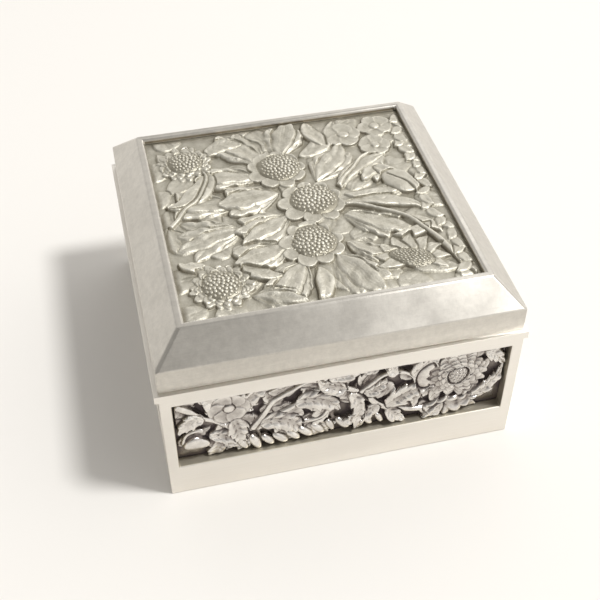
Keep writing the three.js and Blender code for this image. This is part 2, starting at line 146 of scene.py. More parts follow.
def plain_mesh(name: str, cut: bmesh.types.BMesh) -> bpy.types.Mesh:
    """Turns an editable mesh into a plain one and frees it.

    Args:
        name: The plain mesh's name.
        cut: The editable mesh.

    Returns:
        The plain mesh.
    """
    mesh = bpy.data.meshes.new(name)
    cut.to_mesh(mesh)
    cut.free()
    return mesh


def block_mesh(name: str, low: Vector | np.ndarray, high: Vector | np.ndarray) -> bpy.types.Mesh:
    """Makes a block between two corners.

    Args:
        name: The mesh's name.
        low: The low corner.
        high: The high corner.

    Returns:
        The block's mesh.
    """
    cut = bmesh.new()
    place = Matrix.LocRotScale(Vector((low + high) / 2), None, Vector(high - low))
    bmesh.ops.create_cube(cut, size=1.0, matrix=place)
    return plain_mesh(name, cut)


def baked(obj: bpy.types.Object) -> bpy.types.Mesh:
    """Applies an object's modifiers.

    Args:
        obj: The object, whose mesh is replaced and whose modifiers are removed.

    Returns:
        Its new mesh.
    """
    bpy.context.view_layer.update()
    evaluated = obj.evaluated_get(bpy.context.evaluated_depsgraph_get())
    mesh = bpy.data.meshes.new_from_object(evaluated)
    obj.modifiers.clear()
    obj.data = mesh
    return mesh


def settle(obj: bpy.types.Object, body: str, slot: str, *nodes: str) -> None:
    """Gives a finished piece its body and hides the CAD nodes that it stands for.

    Args:
        obj: The piece.
        body: The CAD body that it rides on.
        slot: The record's material slot; not used.
        nodes: The CAD nodes that it replaces.
    """
    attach(obj, body)
    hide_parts(*nodes)
    LOG.info("%s: %d faces", obj.name, len(obj.data.polygons))


# Finishes

def blank_material(name: str) -> tuple[bpy.types.Material, bpy.types.NodeTree]:
    """Makes a material whose tree is empty.

    Args:
        name: Its name.

    Returns:
        The material and its tree.
    """
    material = bpy.data.materials.new(name)
    material.use_nodes = True
    material.node_tree.nodes.clear()
    return material, material.node_tree


@dataclass(frozen=True)
class BrushedPewter:
    """Cast pewter, filed flat and brushed along each face: satin, with fine lines and soft waves.

    To the eye that is a pale warm grey whose highlights are drawn out across the brushing. The lines of
    the real brushing are finer than the picture shows, so they are drawn wider.

    Attributes:
        name: The material's name.
        colour: The metal between the lines.
        worn_colour: The metal in the lines.
        roughness: The middle of its roughness.
        stretch: How far a highlight is drawn out.
        line_spacing_mm: The width of one line with its gap.
        line_length_mm: How far a line runs.
        line_depth_mm: How deep it is.
        wave_mm: The width of the soft waves that filing by hand leaves.
        wave_depth_mm: How deep they are.
        grain_mm: The width of the casting's pores.
        grain_depth_mm: How deep they are.
        mottle: How much darker the cloudy spots are, as a share.
        mottle_mm: The width of these spots.
    """

    name: str
    colour: str
    worn_colour: str
    roughness: float = 0.36
    stretch: float = 0.8
    line_spacing_mm: float = 0.28
    line_length_mm: float = 9.0
    line_depth_mm: float = 0.006
    wave_mm: float = 11.0
    wave_depth_mm: float = 0.05
    grain_mm: float = 0.35
    grain_depth_mm: float = 0.004
    mottle: float = 0.0
    mottle_mm: float = 1.5

    def material(self) -> bpy.types.Material:
        """Builds the material. It reads the map "brush", which runs in millimetres along each face.

        Returns:
            The material.
        """
        material, tree = blank_material(self.name)
        fine, long = 1 / self.line_spacing_mm, 1 / self.line_length_mm
        brush = add(tree, "ShaderNodeUVMap", {"uv_map": "brush"}).outputs["UV"]
        along = add(tree, "ShaderNodeMapping", {"Scale": (long, fine, 1)}, {"Vector": brush}).outputs[0]
        athwart = add(tree, "ShaderNodeMapping", {"Rotation": (0, 0, 0.35), "Scale": (fine, 0.4 * long, 1)},
                      {"Vector": brush}).outputs[0]
        place = add(tree, "ShaderNodeTexCoord").outputs["Object"]
        lines, strokes, waves, grain, spots = (
            add(tree, "ShaderNodeTexNoise", {"Scale": scale, "Detail": detail, "Roughness": roughness},
                {"Vector": where}).outputs["Fac"]
            for where, scale, detail, roughness in (
                (along, 1.0, 3.0, 0.6),
                (athwart, 1.0, 2.0, 0.5),
                (place, 1 / (self.wave_mm * MM), 2.0, 0.5),
                (place, 1 / (self.grain_mm * MM), 2.0, 0.5),
                (place, 1 / (self.mottle_mm * MM), 4.0, 0.75)))
        tone = add(tree, "ShaderNodeMix",
                   {"data_type": "RGBA", 6: linear(self.colour), 7: linear(self.worn_colour)},
                   {0: lines}).outputs[2]
        cloudy = add(tree, "ShaderNodeMapRange",
                     {"From Min": 0.35, "From Max": 0.65, "To Min": 1 - self.mottle},
                     {"Value": spots}).outputs[0]
        tone = add(tree, "ShaderNodeMix", {"data_type": "RGBA", "blend_type": "MULTIPLY", 0: 1.0},
                   {6: tone, 7: cloudy}).outputs[2]
        rough = add(tree, "ShaderNodeMapRange",
                    {"From Min": 0.3, "From Max": 0.7, "To Min": self.roughness - 0.05,
                     "To Max": self.roughness + 0.06}, {"Value": waves}).outputs[0]
        bump = None
        for height, strength, depth in (
                (lines, 0.6, self.line_depth_mm), (strokes, 0.55, self.line_depth_mm),
                (grain, 0.5, self.grain_depth_mm), (waves, 0.5, self.wave_depth_mm)):
            below = {"Normal": bump} if bump else {}
            bump = add(tree, "ShaderNodeBump", {"Strength": strength, "Distance": depth * MM},
                       {"Height": height} | below).outputs[0]
        run = add(tree, "ShaderNodeTangent", {"direction_type": "UV_MAP", "uv_map": "brush"}).outputs[0]
        shader = add(tree, "ShaderNodeBsdfPrincipled",
                     {"Metallic": 1.0, "Anisotropic": self.stretch, "Anisotropic Rotation": 0.25},
                     {"Base Color": tone, "Roughness": rough, "Normal": bump, "Tangent": run}).outputs[0]
        add(tree, "ShaderNodeOutputMaterial", {}, {"Surface": shader})
        return material


@dataclass(frozen=True)
class AntiquedPewter:
    """Cast pewter relief, blackened and rubbed back: bright on the high places and dark in the hollows.

    Attributes:
        name: The material's name.
        bright: The rubbed metal.
        shade: The duller metal below it.
        patina: What fills the hollows.
        rubbed: Between which depths the rubbed metal turns to the duller one.
        reach: Between which depths that turns to the patina.
        roughness: The metal's roughness.
        uneven: How far the patina's edge wanders, as a share of the depth.
        grain_mm: The width of the casting's pits.
        pitting_mm: How deep they are.
        patina_roughness: The patina's roughness.
        patina_metal: How metallic it still looks.
    """

    name: str
    bright: str
    shade: str
    patina: str
    rubbed: Span
    reach: Span
    roughness: float = 0.3
    uneven: float = 0.3
    grain_mm: float = 0.45
    pitting_mm: float = 0.035
    patina_roughness: float = 0.7
    patina_metal: float = 0.35

    def material(self) -> bpy.types.Material:
        """Builds the material. It reads the attribute "hollow", from 0 on high places to 1 in the deepest.

        Returns:
            The material.
        """
        material, tree = blank_material(self.name)
        # The hollow value is mostly patina, with painted shade in it on steep sides and on the side of each
        # form away from the lamp.
        hollow = add(tree, "ShaderNodeAttribute", {"attribute_name": "hollow"}).outputs["Fac"]
        place = add(tree, "ShaderNodeTexCoord").outputs["Object"]
        grain, cloud = (
            add(tree, "ShaderNodeTexNoise",
                {"Scale": 1 / (size * MM), "Detail": detail, "Roughness": roughness},
                {"Vector": place}).outputs["Fac"]
            for size, detail, roughness in ((self.grain_mm, 3.0, 0.5), (5 * self.grain_mm, 4.0, 0.65)))
        uneven = add(tree, "ShaderNodeMath",
                     {"operation": "MULTIPLY_ADD", 1: 2 * self.uneven, 2: -self.uneven},
                     {0: cloud}).outputs[0]
        depth = add(tree, "ShaderNodeMath", {"operation": "ADD"}, {0: hollow, 1: uneven}).outputs[0]
        dull = add(tree, "ShaderNodeMapRange", {"From Min": self.rubbed[0], "From Max": self.rubbed[1]},
                   {"Value": depth}).outputs[0]
        dark = add(tree, "ShaderNodeMapRange", {"interpolation_type": "SMOOTHSTEP",
                                                "From Min": self.reach[0], "From Max": self.reach[1]},
                   {"Value": depth}).outputs[0]
        tone = add(tree, "ShaderNodeMix",
                   {"data_type": "RGBA", 6: linear(self.bright), 7: linear(self.shade)},
                   {0: dull}).outputs[2]
        tone = add(tree, "ShaderNodeMix", {"data_type": "RGBA", 7: linear(self.patina)},
                   {0: dark, 6: tone}).outputs[2]
        rough, metal = (
            add(tree, "ShaderNodeMapRange", {"To Min": rubbed, "To Max": filled}, {"Value": dark}).outputs[0]
            for rubbed, filled in ((self.roughness, self.patina_roughness), (1.0, self.patina_metal)))
        bump = add(tree, "ShaderNodeBump", {"Strength": 0.8, "Distance": self.pitting_mm * MM},
                   {"Height": grain}).outputs[0]
        shader = add(tree, "ShaderNodeBsdfPrincipled", {},
                     {"Base Color": tone, "Roughness": rough, "Metallic": metal, "Normal": bump}).outputs[0]
        add(tree, "ShaderNodeOutputMaterial", {}, {"Surface": shader})
        return material


@dataclass(frozen=True)
class PileCloth:
    """Short-pile velvet or pressed felt: matt, with a soft sheen and a mottle from the lie of its fibres.

    Attributes:
        name: The material's name.
        colour: The pile seen from its tips.
        brushed_colour: The pile where it lies over, which also tints its sheen.
        sheen: How strong the sheen is.
        fibre_mm: The width of a tuft.
        fibre_depth_mm: How deep the pile is between tufts.
        nap_mm: The width of the patches where the pile lies one way.
    """

    name: str
    colour: str
    brushed_colour: str
    sheen: float
    fibre_mm: float = 0.3
    fibre_depth_mm: float = 0.08
    nap_mm: float = 7.0

    def material(self) -> bpy.types.Material:
        """Builds the material.

        Returns:
            The material.
        """
        material, tree = blank_material(self.name)
        place = add(tree, "ShaderNodeTexCoord").outputs["Object"]
        fibre, nap = (
            add(tree, "ShaderNodeTexNoise", {"Scale": 1 / (size * MM), "Detail": detail},
                {"Vector": place}).outputs["Fac"]
            for size, detail in ((self.fibre_mm, 3.0), (self.nap_mm, 2.0)))
        both = add(tree, "ShaderNodeMath", {"operation": "MULTIPLY_ADD", 1: 0.5},
                   {0: fibre, 2: nap}).outputs[0]
        lie = add(tree, "ShaderNodeMapRange", {"From Min": 0.55, "From Max": 0.95},
                  {"Value": both}).outputs[0]
        brushed = linear(self.brushed_colour)
        tone = add(tree, "ShaderNodeMix", {"data_type": "RGBA", 6: linear(self.colour), 7: brushed},
                   {0: lie}).outputs[2]
        bump = add(tree, "ShaderNodeBump", {"Strength": 0.7, "Distance": self.fibre_depth_mm * MM},
                   {"Height": fibre}).outputs[0]
        shader = add(tree, "ShaderNodeBsdfPrincipled",
                     {"Roughness": 0.9, "Sheen Weight": self.sheen, "Sheen Roughness": 0.4,
                      "Sheen Tint": brushed},
                     {"Base Color": tone, "Normal": bump}).outputs[0]
        add(tree, "ShaderNodeOutputMaterial", {}, {"Surface": shader})
        return material


# Carving. All sizes are in millimetres. A place on a panel is (u, v), along it and up it from its middle.

# How far in a tendril winds, as a share of its radius.
CURL_CLOSES = 0.82
# The least height of a leaf over the ground.
THINNEST = 0.08
# Above this share of the height that nothing passes, high places are pressed down.
KNEE = 0.7
# How far into the panel the patina along its frame reaches.
BORDER_REACH = 1.6


def bow(base: Point, tip: Point, bend: float, steps: int = 18) -> np.ndarray:
    """Draws a bow between two points.

    Args:
        base: Where it starts.
        tip: Where it ends.
        bend: The bow's height to its left, as a share of its length.
        steps: How many pieces it has.

    Returns:
        Points along it.
    """
    start, end = np.array(base, float), np.array(tip, float)
    run = end - start
    left = np.array([-run[1], run[0]])
    s = np.linspace(0, 1, steps + 1)[:, None]
    return start + run * s + left * bend * 4 * s * (1 - s)


def flow(points: Iterable[Point], per_span: int = 8) -> np.ndarray:
    """Draws a smooth line through points.

    Args:
        points: The points.
        per_span: How many pieces it has between two of them.

    Returns:
        Points along it.
    """
    p = np.array(list(points), float)
    p = np.vstack([2 * p[0] - p[1], p, 2 * p[-1] - p[-2]])
    out = []
    for a, b, c, d in zip(p, p[1:], p[2:], p[3:]):
        for t in np.linspace(0, 1, per_span, endpoint=False):
            out.append(0.5 * (2 * b + (c - a) * t + (2 * a - 5 * b + 4 * c - d) * t * t
                              + (3 * b - a - 3 * c + d) * t ** 3))
    out.append(p[-2])
    return np.array(out)


def curl(centre: Point, radius: float, start: float, turns: float, steps: int = 40) -> np.ndarray:
    """Draws a tendril that winds in towards a centre.

    Args:
        centre: The centre.
        radius: How far out it starts.
        start: The angle at which it starts.
        turns: How many times it goes round.
        steps: How many points it has.

    Returns:
        Points along it.
    """
    t = np.linspace(0, 1, steps)
    r = radius * (1 - CURL_CLOSES * t)
    angle = start + turns * 2 * math.pi * t
    return np.stack([centre[0] + r * np.cos(angle), centre[1] + r * np.sin(angle)], 1)


def softened(form: np.ndarray, room: np.ndarray, edge: float, foot: float) -> np.ndarray:
    """Rounds a form off towards its outline.

    Args:
        form: Its height.
        room: How far inside its outline each cell is.
        edge: How far in the rounding reaches.
        foot: The height at its very edge, as a share of the height just inside.

    Returns:
        The rounded form.
    """
    return form * (foot + (1 - foot) * smooth(room / edge))


@dataclass
class SeedHead:
    """A head, covered in seeds by its own small node tree.

    Attributes:
        centre: Its centre.
        radius: Its radius, or the longer one.
        count: How many seeds it has.
        squash: Its shorter radius, as a share of the longer.
        turn: The longer radius's angle.
        cover: How far out the seeds reach, as a share of the radius.
    """

    centre: Point
    radius: float
    count: int
    squash: float = 1.0
    turn: float = 0.0
    cover: float = 0.96


@dataclass
class GrainEar:
    """An ear of grain that follows a path.

    Attributes:
        path: The path's points.
        count: How many grains it has.
        lift: Their height over the ground.
        length: How long a grain is.
        lean: The angle between a grain and the path.
    """

    path: np.ndarray
    count: int
    lift: float
    length: float
    lean: float


@dataclass(frozen=True)
class LeafCut:
    """How a kind of leaf is cut. Lengths are in millimetres.

    Attributes:
        lobes: Lobes or teeth along each edge.
        notch: How deep they are, as a share of the leaf's width.
        serrated: Teeth that point forward, rather than round lobes.
        lift: The height of its base over the ground.
        rise: How much higher its tip is.
        arch: How much higher its middle is.
        crown: The swell of each half.
        lean: How much it stands up towards the carving's raised side.
        rib: The midrib's height, or depth where it is negative.
        veins: Side veins on each half.
        groove: Their depth.
        flutes: Lengthwise folds on each half.
        flute: Their height.
        fullness: Below 1, the leaf is widest near its base, and above 1 near its tip.
        point: How pointed its ends are, from 0.4 for blunt ones to 1.
        ripple: The waves of its edge.
        edge: How softly it rounds off at its edge.
        foot: The height at its very edge, as a share of the height just inside.
    """

    lobes: int = 0
    notch: float = 0.28
    serrated: bool = False
    lift: float = 0.4
    rise: float = 0.1
    arch: float = 0.15
    crown: float = 0.25
    lean: float = 0.0
    rib: float = 0.1
    veins: int = 0
    groove: float = 0.06
    flutes: int = 0
    flute: float = 0.06
    fullness: float = 0.7
    point: float = 0.8
    ripple: float = 0.05
    edge: float = 0.25
    foot: float = 0.6


@dataclass
class Carving:
    """A relief cut as a height field about the middle of its panel. All sizes are in millimetres.

    Beside the height it keeps the ink, from 0 to 1: the dark line of patina at the foot of each form, drawn
    darker on the side away from the lamp as painted shade.

    Attributes:
        half_u: Half its width.
        half_v: Half its height.
        step: The size of a cell.
        bank: How steeply what lies beside a form is cut back to its foot.
        line: The width of the ink line.
        cover: How far inside its edge a form hides the ink drawn under it.
        tall: The step in height at which the line is darkest.
        raised: The way towards which leaves stand up, and the side away from the lamp on which the ink line
            is painted darker, as painted shade.
        wander: How far the carver's hand strays from a drawn line.
        knots_apart: Over what distance it strays another way.
        seed: What sets its straying.
        heads: The seed heads to grow on it.
        ears: The ears of grain to grow on it.
    """

    half_u: float
    half_v: float
    step: float
    bank: float = 3.0
    line: float = 0.34
    cover: float = 0.12
    tall: float = 0.35
    raised: Point = (-0.8, -0.6)
    wander: float = 0.28
    knots_apart: float = 3.4
    seed: int = 1
    heads: list[SeedHead] = field(default_factory=list)
    ears: list[GrainEar] = field(default_factory=list)

    def __post_init__(self) -> None:
        """Lays out the flat ground, and how far a carver's hand wanders from a drawn line at each place."""
        self.u = np.linspace(-self.half_u, self.half_u, round(2 * self.half_u / self.step) + 1)
        self.v = np.linspace(-self.half_v, self.half_v, round(2 * self.half_v / self.step) + 1)
        self.height = np.zeros((len(self.v), len(self.u)))
        self.ink = np.zeros_like(self.height)
        rng = np.random.default_rng(self.seed)
        uu, vv = np.meshgrid((self.u + self.half_u) / self.knots_apart,
                             (self.v + self.half_v) / self.knots_apart)
        i, j = uu.astype(int), vv.astype(int)
        fu, fv = smooth(uu - i), smooth(vv - j)
        self.off = []
        for _ in range(2):
            knots = rng.standard_normal((j.max() + 2, i.max() + 2)) * self.wander
            self.off.append((knots[j, i] * (1 - fu) + knots[j, i + 1] * fu) * (1 - fv)
                            + (knots[j + 1, i] * (1 - fu) + knots[j + 1, i + 1] * fu) * fv)

    def drifted(self, point: Point) -> Point:
        """Finds where the carver's hand puts a drawn point."""
        u, v = np.float64(point[0]), np.float64(point[1])
        return (float(u - self.sample(self.off[0], u, v)), float(v - self.sample(self.off[1], u, v)))

    def window(self, low: np.ndarray, high: np.ndarray) -> tuple[Cells, np.ndarray, np.ndarray] | None:
        """Finds the cells inside a rectangle.

        Args:
            low: The rectangle's low corner.
            high: Its high corner.

        Returns:
            The cells and where the carver's hand has each, or None outside the panel.
        """
        i0, i1 = np.searchsorted(self.u, (low[0], high[0]))
        j0, j1 = np.searchsorted(self.v, (low[1], high[1]))
        if i1 <= i0 or j1 <= j0:
            return None
        where = (slice(j0, j1), slice(i0, i1))
        uu, vv = np.meshgrid(self.u[i0:i1], self.v[j0:j1])
        return where, uu + self.off[0][where], vv + self.off[1][where]

    def lay(self, where: Cells, form: np.ndarray, room: np.ndarray) -> None:
        """Lays a form on top, cuts what lies beside it back to its foot and inks the line round it, darker on
        the side away from the lamp as painted shade.

        Args:
            where: The cells to work on.
            form: The form's height, and outside it the height of its foot.
            room: How far inside its outline each cell is; negative outside.
        """
        old, drawn = self.height[where], self.ink[where]
        line = smooth(1 + room / self.line) * (0.15 + 0.85 * smooth(np.abs(form - old) / self.tall))
        # Painted shade: the ink line is drawn darker where the outline faces the raised way, the side away
        # from the lamp, and fainter on the lit side.
        if min(room.shape) > 1:
            out_v, out_u = np.gradient(-room, self.step)
            line *= 0.4 + 0.6 * smooth(0.5 + 0.8 * (out_u * self.raised[0] + out_v * self.raised[1]))
        self.ink[where] = np.where(room > 0, drawn * (1 - smooth(room / self.cover)),
                                   np.maximum(drawn, line))
        foot = form + self.bank * np.maximum(-room, 0)
        self.height[where] = np.where(room > 0, form, np.minimum(old, np.maximum(foot, 0)))

    def beside(self, path: np.ndarray,
               reach: float) -> tuple[Cells, np.ndarray, np.ndarray, float] | None:
        """Measures cells against a path.

        Args:
            path: The path's points.
            reach: How far from it cells still count.

        Returns:
            The cells, how far along the path and how far to its left each is, and the path's length, or
            None outside the panel.
        """
        got = self.window(path.min(0) - reach, path.max(0) + reach)
        if got is None:
            return None
        where, uu, vv = got
        best = np.full(uu.shape, np.inf)
        s, t = np.zeros(uu.shape), np.zeros(uu.shape)
        run = 0.0
        last = len(path) - 2
        for i, (a, b) in enumerate(zip(path, path[1:])):
            d = b - a
            length = float(np.hypot(*d))
            ru, rv = uu - a[0], vv - a[1]
            q = (ru * d[0] + rv * d[1]) / length
            held = np.clip(q, 0, length)
            free = np.clip(q, 0 if i else -reach, length if i < last else length + reach)
            gap = (ru - held * d[0] / length) ** 2 + (rv - held * d[1] / length) ** 2
            closer = gap < best
            best = np.where(closer, gap, best)
            s = np.where(closer, run + free, s)
            t = np.where(closer, np.sign(d[0] * rv - d[1] * ru) * np.sqrt(gap), t)
            run += length
        return where, s, t, run

    def leaf(self, base: Point, tip: Point, width: float, bend: float, cut: LeafCut) -> None:
        """Carves a leaf.

        Args:
            base: Where it grows from.
            tip: Its point.
            width: Its width.
            bend: The bow of its midrib, as a share of its length.
            cut: How it is cut.
        """
        got = self.beside(bow(base, tip, bend), width * 0.8)
        if got is None:
            return
        where, s, t, length = got
        q = np.clip(s / length, 0, 1)
        a = np.abs(t)
        outline = 0.5 * width * np.sin(np.pi * q ** cut.fullness) ** cut.point + 1e-6
        slanted = np.clip((s - 0.7 * a) / length, 0, 1)
        edge = outline
        if cut.lobes:
            turn = slanted * cut.lobes % 1
            tooth = np.minimum(1, turn * 1.15) ** 0.8 if cut.serrated else np.sin(np.pi * turn) ** 0.6
            edge = outline * (1 - cut.notch * (1 - tooth) * smooth(q * 4))
        room = np.minimum(edge - a, np.minimum(s, length - s))
        x = np.clip(a / outline, 0, 1)
        way = (np.array(tip, float) - base) / math.dist(base, tip)
        sideways = cut.lean * (way[0] * self.raised[1] - way[1] * self.raised[0])
        forwards = cut.lean * (way[0] * self.raised[0] + way[1] * self.raised[1])
        body = cut.lift + (cut.rise + forwards) * q ** 1.5 + cut.arch * 4 * q * (1 - q)
        body = body + cut.crown * (1 - (2 * x - 1) ** 2) + sideways * t / (0.5 * width)
        if cut.veins:
            # The seventh power makes a narrow groove of a wave.
            furrow = (0.5 + 0.5 * np.cos(2 * np.pi * slanted * cut.veins)) ** 7
            body = body - cut.groove * furrow * smooth(a / 0.4) * (1 - x ** 3)
        if cut.flutes:
            body = body + cut.flute * (np.abs(np.sin(np.pi * cut.flutes * x)) ** 0.7 - 0.5) * smooth(3 * q)
        body = body + cut.ripple * x * np.sin(2 * np.pi * slanted * max(cut.lobes, 2) + base[0])
        # The midrib is a ridge with a shallower gutter along each side.
        midrib = cut.rib * np.exp(-(a / 0.26) ** 2) - 0.6 * abs(cut.rib) * np.exp(-((a - 0.55) / 0.25) ** 2)
        body = np.maximum(body + midrib * (1 - q) ** 0.4, THINNEST)
        self.lay(where, softened(body, room, cut.edge, cut.foot), room)

    def fan(self, base: Point, tip: Point, width: float, fingers: int, cut: LeafCut) -> None:
        """Carves a broad leaf: a palm with rounded fingers that spread over it, the middle one on top.

        Args:
            base: Where it grows from.
            tip: The end of its middle finger.
            width: Its width.
            fingers: How many fingers it has.
            cut: How each finger is cut.
        """
        run = np.array(tip, float) - base
        palm = replace(cut, lift=0.8 * cut.lift, flutes=0)
        self.leaf(base, tuple(base + 0.86 * run), 0.94 * width, 0.0, palm)
        length = math.dist(base, tip)
        facing = math.atan2(run[1], run[0])
        half = (fingers - 1) / 2
        finger = 1.75 * width / fingers
        spread = 1.25 * math.asin(min(0.8, 0.5 * (width - finger) / (0.53 * length)))
        for k in sorted(range(fingers), key=lambda i: -abs(i - half)):
            share = (k - half) / half
            angle = facing + spread * share
            reach = length * (1 - 0.16 * abs(share) + 0.05 * math.sin(7 * base[0] + 2 * k))
            end = (base[0] + reach * math.cos(angle), base[1] + reach * math.sin(angle))
            raised = replace(cut, lift=cut.lift + 0.06 * (1 - abs(share)))
            self.leaf(base, end, finger, -0.08 * share, raised)

    def stem(self, path: np.ndarray, width: float, lift: float, taper: float = 0.3) -> None:
        """Carves a round stem along a path.

        Args:
            path: The path's points.
            width: Its width.
            lift: The height of its sides.
            taper: How much thinner its end is, as a share.
        """
        got = self.beside(path, width)
        if got is None:
            return
        where, s, t, length = got
        half = 0.5 * width * (1 - taper * np.clip(s / length, 0, 1))
        room = half - np.hypot(t, np.maximum(0, np.maximum(-s, s - length)))
        top = np.sqrt(np.clip(1 - (1 - np.clip(room / half, 0, 1)) ** 2, 0, 1))
        self.lay(where, 0.7 * lift + 0.3 * lift * smooth(room / 0.15) + half * 0.9 * top, room)

    def dome(self, centre: Point, radius: float, lift: float, swell: float, squash: float = 1.0,
             turn: float = 0.0, under: float = 0.0) -> None:
        """Carves a boss.

        Args:
            centre: Its centre.
            radius: Its radius, or the longer one.
            lift: The height of its rim.
            swell: How much higher its middle is.
            squash: Its shorter radius, as a share of the longer.
            turn: The longer radius's angle.
            under: How dark it stays under the seeds that cover it.
        """
        got = self.window(np.array(centre) - radius - 1, np.array(centre) + radius + 1)
        if got is None:
            return
        where, uu, vv = got
        c, s = math.cos(turn), math.sin(turn)
        du, dv = uu - centre[0], vv - centre[1]
        d = ((c * du + s * dv) / radius) ** 2 + ((c * dv - s * du) / (radius * squash)) ** 2
        room = (1 - np.sqrt(d)) * radius * squash
        self.lay(where, lift * (0.7 + 0.3 * smooth(room / 0.2)) + swell * np.sqrt(np.clip(1 - d, 0, 1)), room)
        self.ink[where] = np.maximum(self.ink[where], under * smooth(room / 0.3))

    def petal(self, centre: Point, angle: float, near: float, far: float, width: float, lift: float,
              cup: float = 0.2, rise: float = 0.0, foot: float = 0.6) -> None:
        """Carves a round-ended petal.

        Args:
            centre: The flower's centre.
            angle: The way it points.
            near: The distance of its foot from the centre.
            far: The distance of its rounded end.
            width: Its width.
            lift: The height of its foot.
            cup: How much its rim turns up.
            rise: How much higher its end is.
            foot: The height at its very edge, as a share of the height just inside.
        """
        d = np.array([math.cos(angle), math.sin(angle)])
        middle = np.array(centre) + d * (near + far) / 2
        got = self.window(middle - far, middle + far)
        if got is None:
            return
        where, uu, vv = got
        du, dv = uu - centre[0], vv - centre[1]
        q = (du * d[0] + dv * d[1] - near) / (far - near)
        across = np.abs(dv * d[0] - du * d[1])
        ball = np.sqrt(np.clip(1 - np.clip((q - 0.55) / 0.45, -1, 1) ** 2, 0, 1))
        half = 0.5 * width * np.where(q < 0.55, 0.55 + 0.45 * smooth(q / 0.55), ball)
        room = np.minimum(half - across, np.minimum(q, 1 - q) * (far - near))
        x = np.clip(across / np.maximum(half, 1e-6), 0, 1)
        bowl = cup * np.maximum(x ** 2, np.clip(q, 0, 1) ** 3)
        form = lift + rise * np.clip(q, 0, 1) + bowl
        self.lay(where, softened(form, room, 0.3, foot), room)

    def rose(self, centre: Point, radius: float, petals: int, lift: float, turn: float = 0.0) -> None:
        """Carves a small open flower with one ring of cupped petals.

        Args:
            centre: Its centre.
            radius: The reach of its petals.
            petals: How many it has.
            lift: The height of their feet.
            turn: The angle of the first.
        """
        for i in range(petals):
            angle = 2 * math.pi * i / petals + turn
            self.petal(centre, angle, 0.1 * radius, radius, 1.05 * radius, lift + 0.06 * (i % 2), cup=0.24,
                       rise=-0.1, foot=0.75)
        self.dome(centre, 0.28 * radius, lift + 0.05, 0.3)

    def blossom(self, centre: Point, radius: float, lift: float, petals: int = 9, lean: float = 0.9,
                head: float = 0.64, swell: float = 0.8, seeds: int = 84) -> None:
        """Carves a seeded blossom whose head leans one way, so that more scalloped petals show behind.

        Args:
            centre: Its centre.
            radius: The reach of its petals.
            lift: The height of the outer petals' feet.
            petals: Petals in each ring.
            lean: The angle towards which the head leans.
            head: The seed head's radius, as a share of the blossom's.
            swell: The seed head's height.
            seeds: Seeds on the head.
        """
        for i in range(petals):
            angle = 2 * math.pi * i / petals + lean
            near_side = 0.5 - 0.5 * math.cos(angle - lean)
            reach = radius * (0.86 + 0.14 * near_side)
            size = 0.27 * radius * (1 + 0.12 * math.sin(5 * angle + centre[0]))
            spot = (centre[0] + (reach - size) * math.cos(angle),
                    centre[1] + (reach - size) * math.sin(angle))
            self.shell(spot, size, lift + 0.07 * (i % 2) - 0.08 * (1 - near_side), 0.3, angle)
        middle = (centre[0] + 0.1 * radius * math.cos(lean), centre[1] + 0.1 * radius * math.sin(lean))
        self.dome(middle, head * radius, lift - 0.15, swell, under=0.8)
        self.heads.append(SeedHead(middle, head * radius, seeds, cover=0.97))

    def shell(self, centre: Point, radius: float, lift: float, cup: float, angle: float) -> None:
        """Carves a round scallop whose rim turns up, most of all the way that it points.

        Args:
            centre: Its centre.
            radius: Its radius.
            lift: The height of its middle.
            cup: How much its rim turns up.
            angle: The way it points.
        """
        got = self.window(np.array(centre) - radius - 1, np.array(centre) + radius + 1)
        if got is None:
            return
        where, uu, vv = got
        du, dv = (uu - centre[0]) / radius, (vv - centre[1]) / radius
        d = np.hypot(du, dv)
        outer = 0.5 + 0.5 * (du * math.cos(angle) + dv * math.sin(angle)) / np.maximum(d, 0.2)
        flutes = 1 + 0.12 * np.cos(7 * np.arctan2(dv, du))
        form = lift + cup * np.clip(d, 0, 1) ** 3 * (0.35 + 0.65 * outer) * flutes
        room = (1 - d) * radius
        self.lay(where, softened(form, room, 0.18, 0.65), room)

    def ruffled(self, centre: Point, radius: float, lift: float, rng: np.random.Generator,
                head: float = 0.6, seeds: int = 58, rise: float = 0.1, foot: float = 0.5) -> None:
        """Carves a ruffled blossom: rings of small ragged petals round a coarse seed head.

        Args:
            centre: Its centre.
            radius: The reach of its outer petals.
            lift: The height of their feet.
            rng: What makes them ragged.
            head: The seed head's radius, as a share of the blossom's.
            seeds: Seeds on the head.
            rise: How much higher each ring stands than the one outside it.
            foot: How deep the cuts between its petals are: 1 for none.
        """
        for ring, reach in enumerate(np.arange(1.0, head + 0.05, -0.14)):
            count = round(6 + 11 * reach)
            for i in range(count):
                angle = 2 * math.pi * (i + 0.5 * ring) / count + rng.uniform(-0.08, 0.08)
                far = radius * reach * rng.uniform(0.93, 1.04)
                self.petal(centre, angle, 0.2 * radius, far, 0.35 * radius,
                           lift + rise * ring + rng.uniform(-0.08, 0.12), cup=0.16, foot=foot)
        self.dome(centre, head * radius, lift + 0.1, 0.6, under=0.8)
        self.heads.append(SeedHead(centre, head * radius, seeds))

    def weather(self, rng: np.random.Generator, spacing: float, height: float) -> None:
        """Adds the uneven skin of a sand casting.

        Args:
            rng: What makes it uneven.
            spacing: How far apart its bumps are.
            height: How high they are.
        """
        bumps = blur(rng.standard_normal(self.height.shape), spacing / self.step / 2)
        self.height += height * bumps / bumps.std() * (0.3 + 0.7 * smooth(self.height / 0.2))

    def finish(self, rounding: float, margin: float, top: float) -> None:
        """Flattens what would stand over the frame and rounds every edge, as a casting does.

        Args:
            rounding: How softly edges are rounded.
            margin: Within how much of the border the relief dies away.
            top: The height that nothing passes.
        """
        knee = KNEE * top
        over = np.maximum(self.height - knee, 0) / (top - knee)
        self.height = np.minimum(self.height, knee) + (top - knee) * (1 - np.exp(-over))
        across = smooth((self.half_u - np.abs(self.u)) / margin)
        along = smooth((self.half_v - np.abs(self.v)) / margin)
        self.height = blur(self.height * across[None, :] * along[:, None], rounding / self.step)

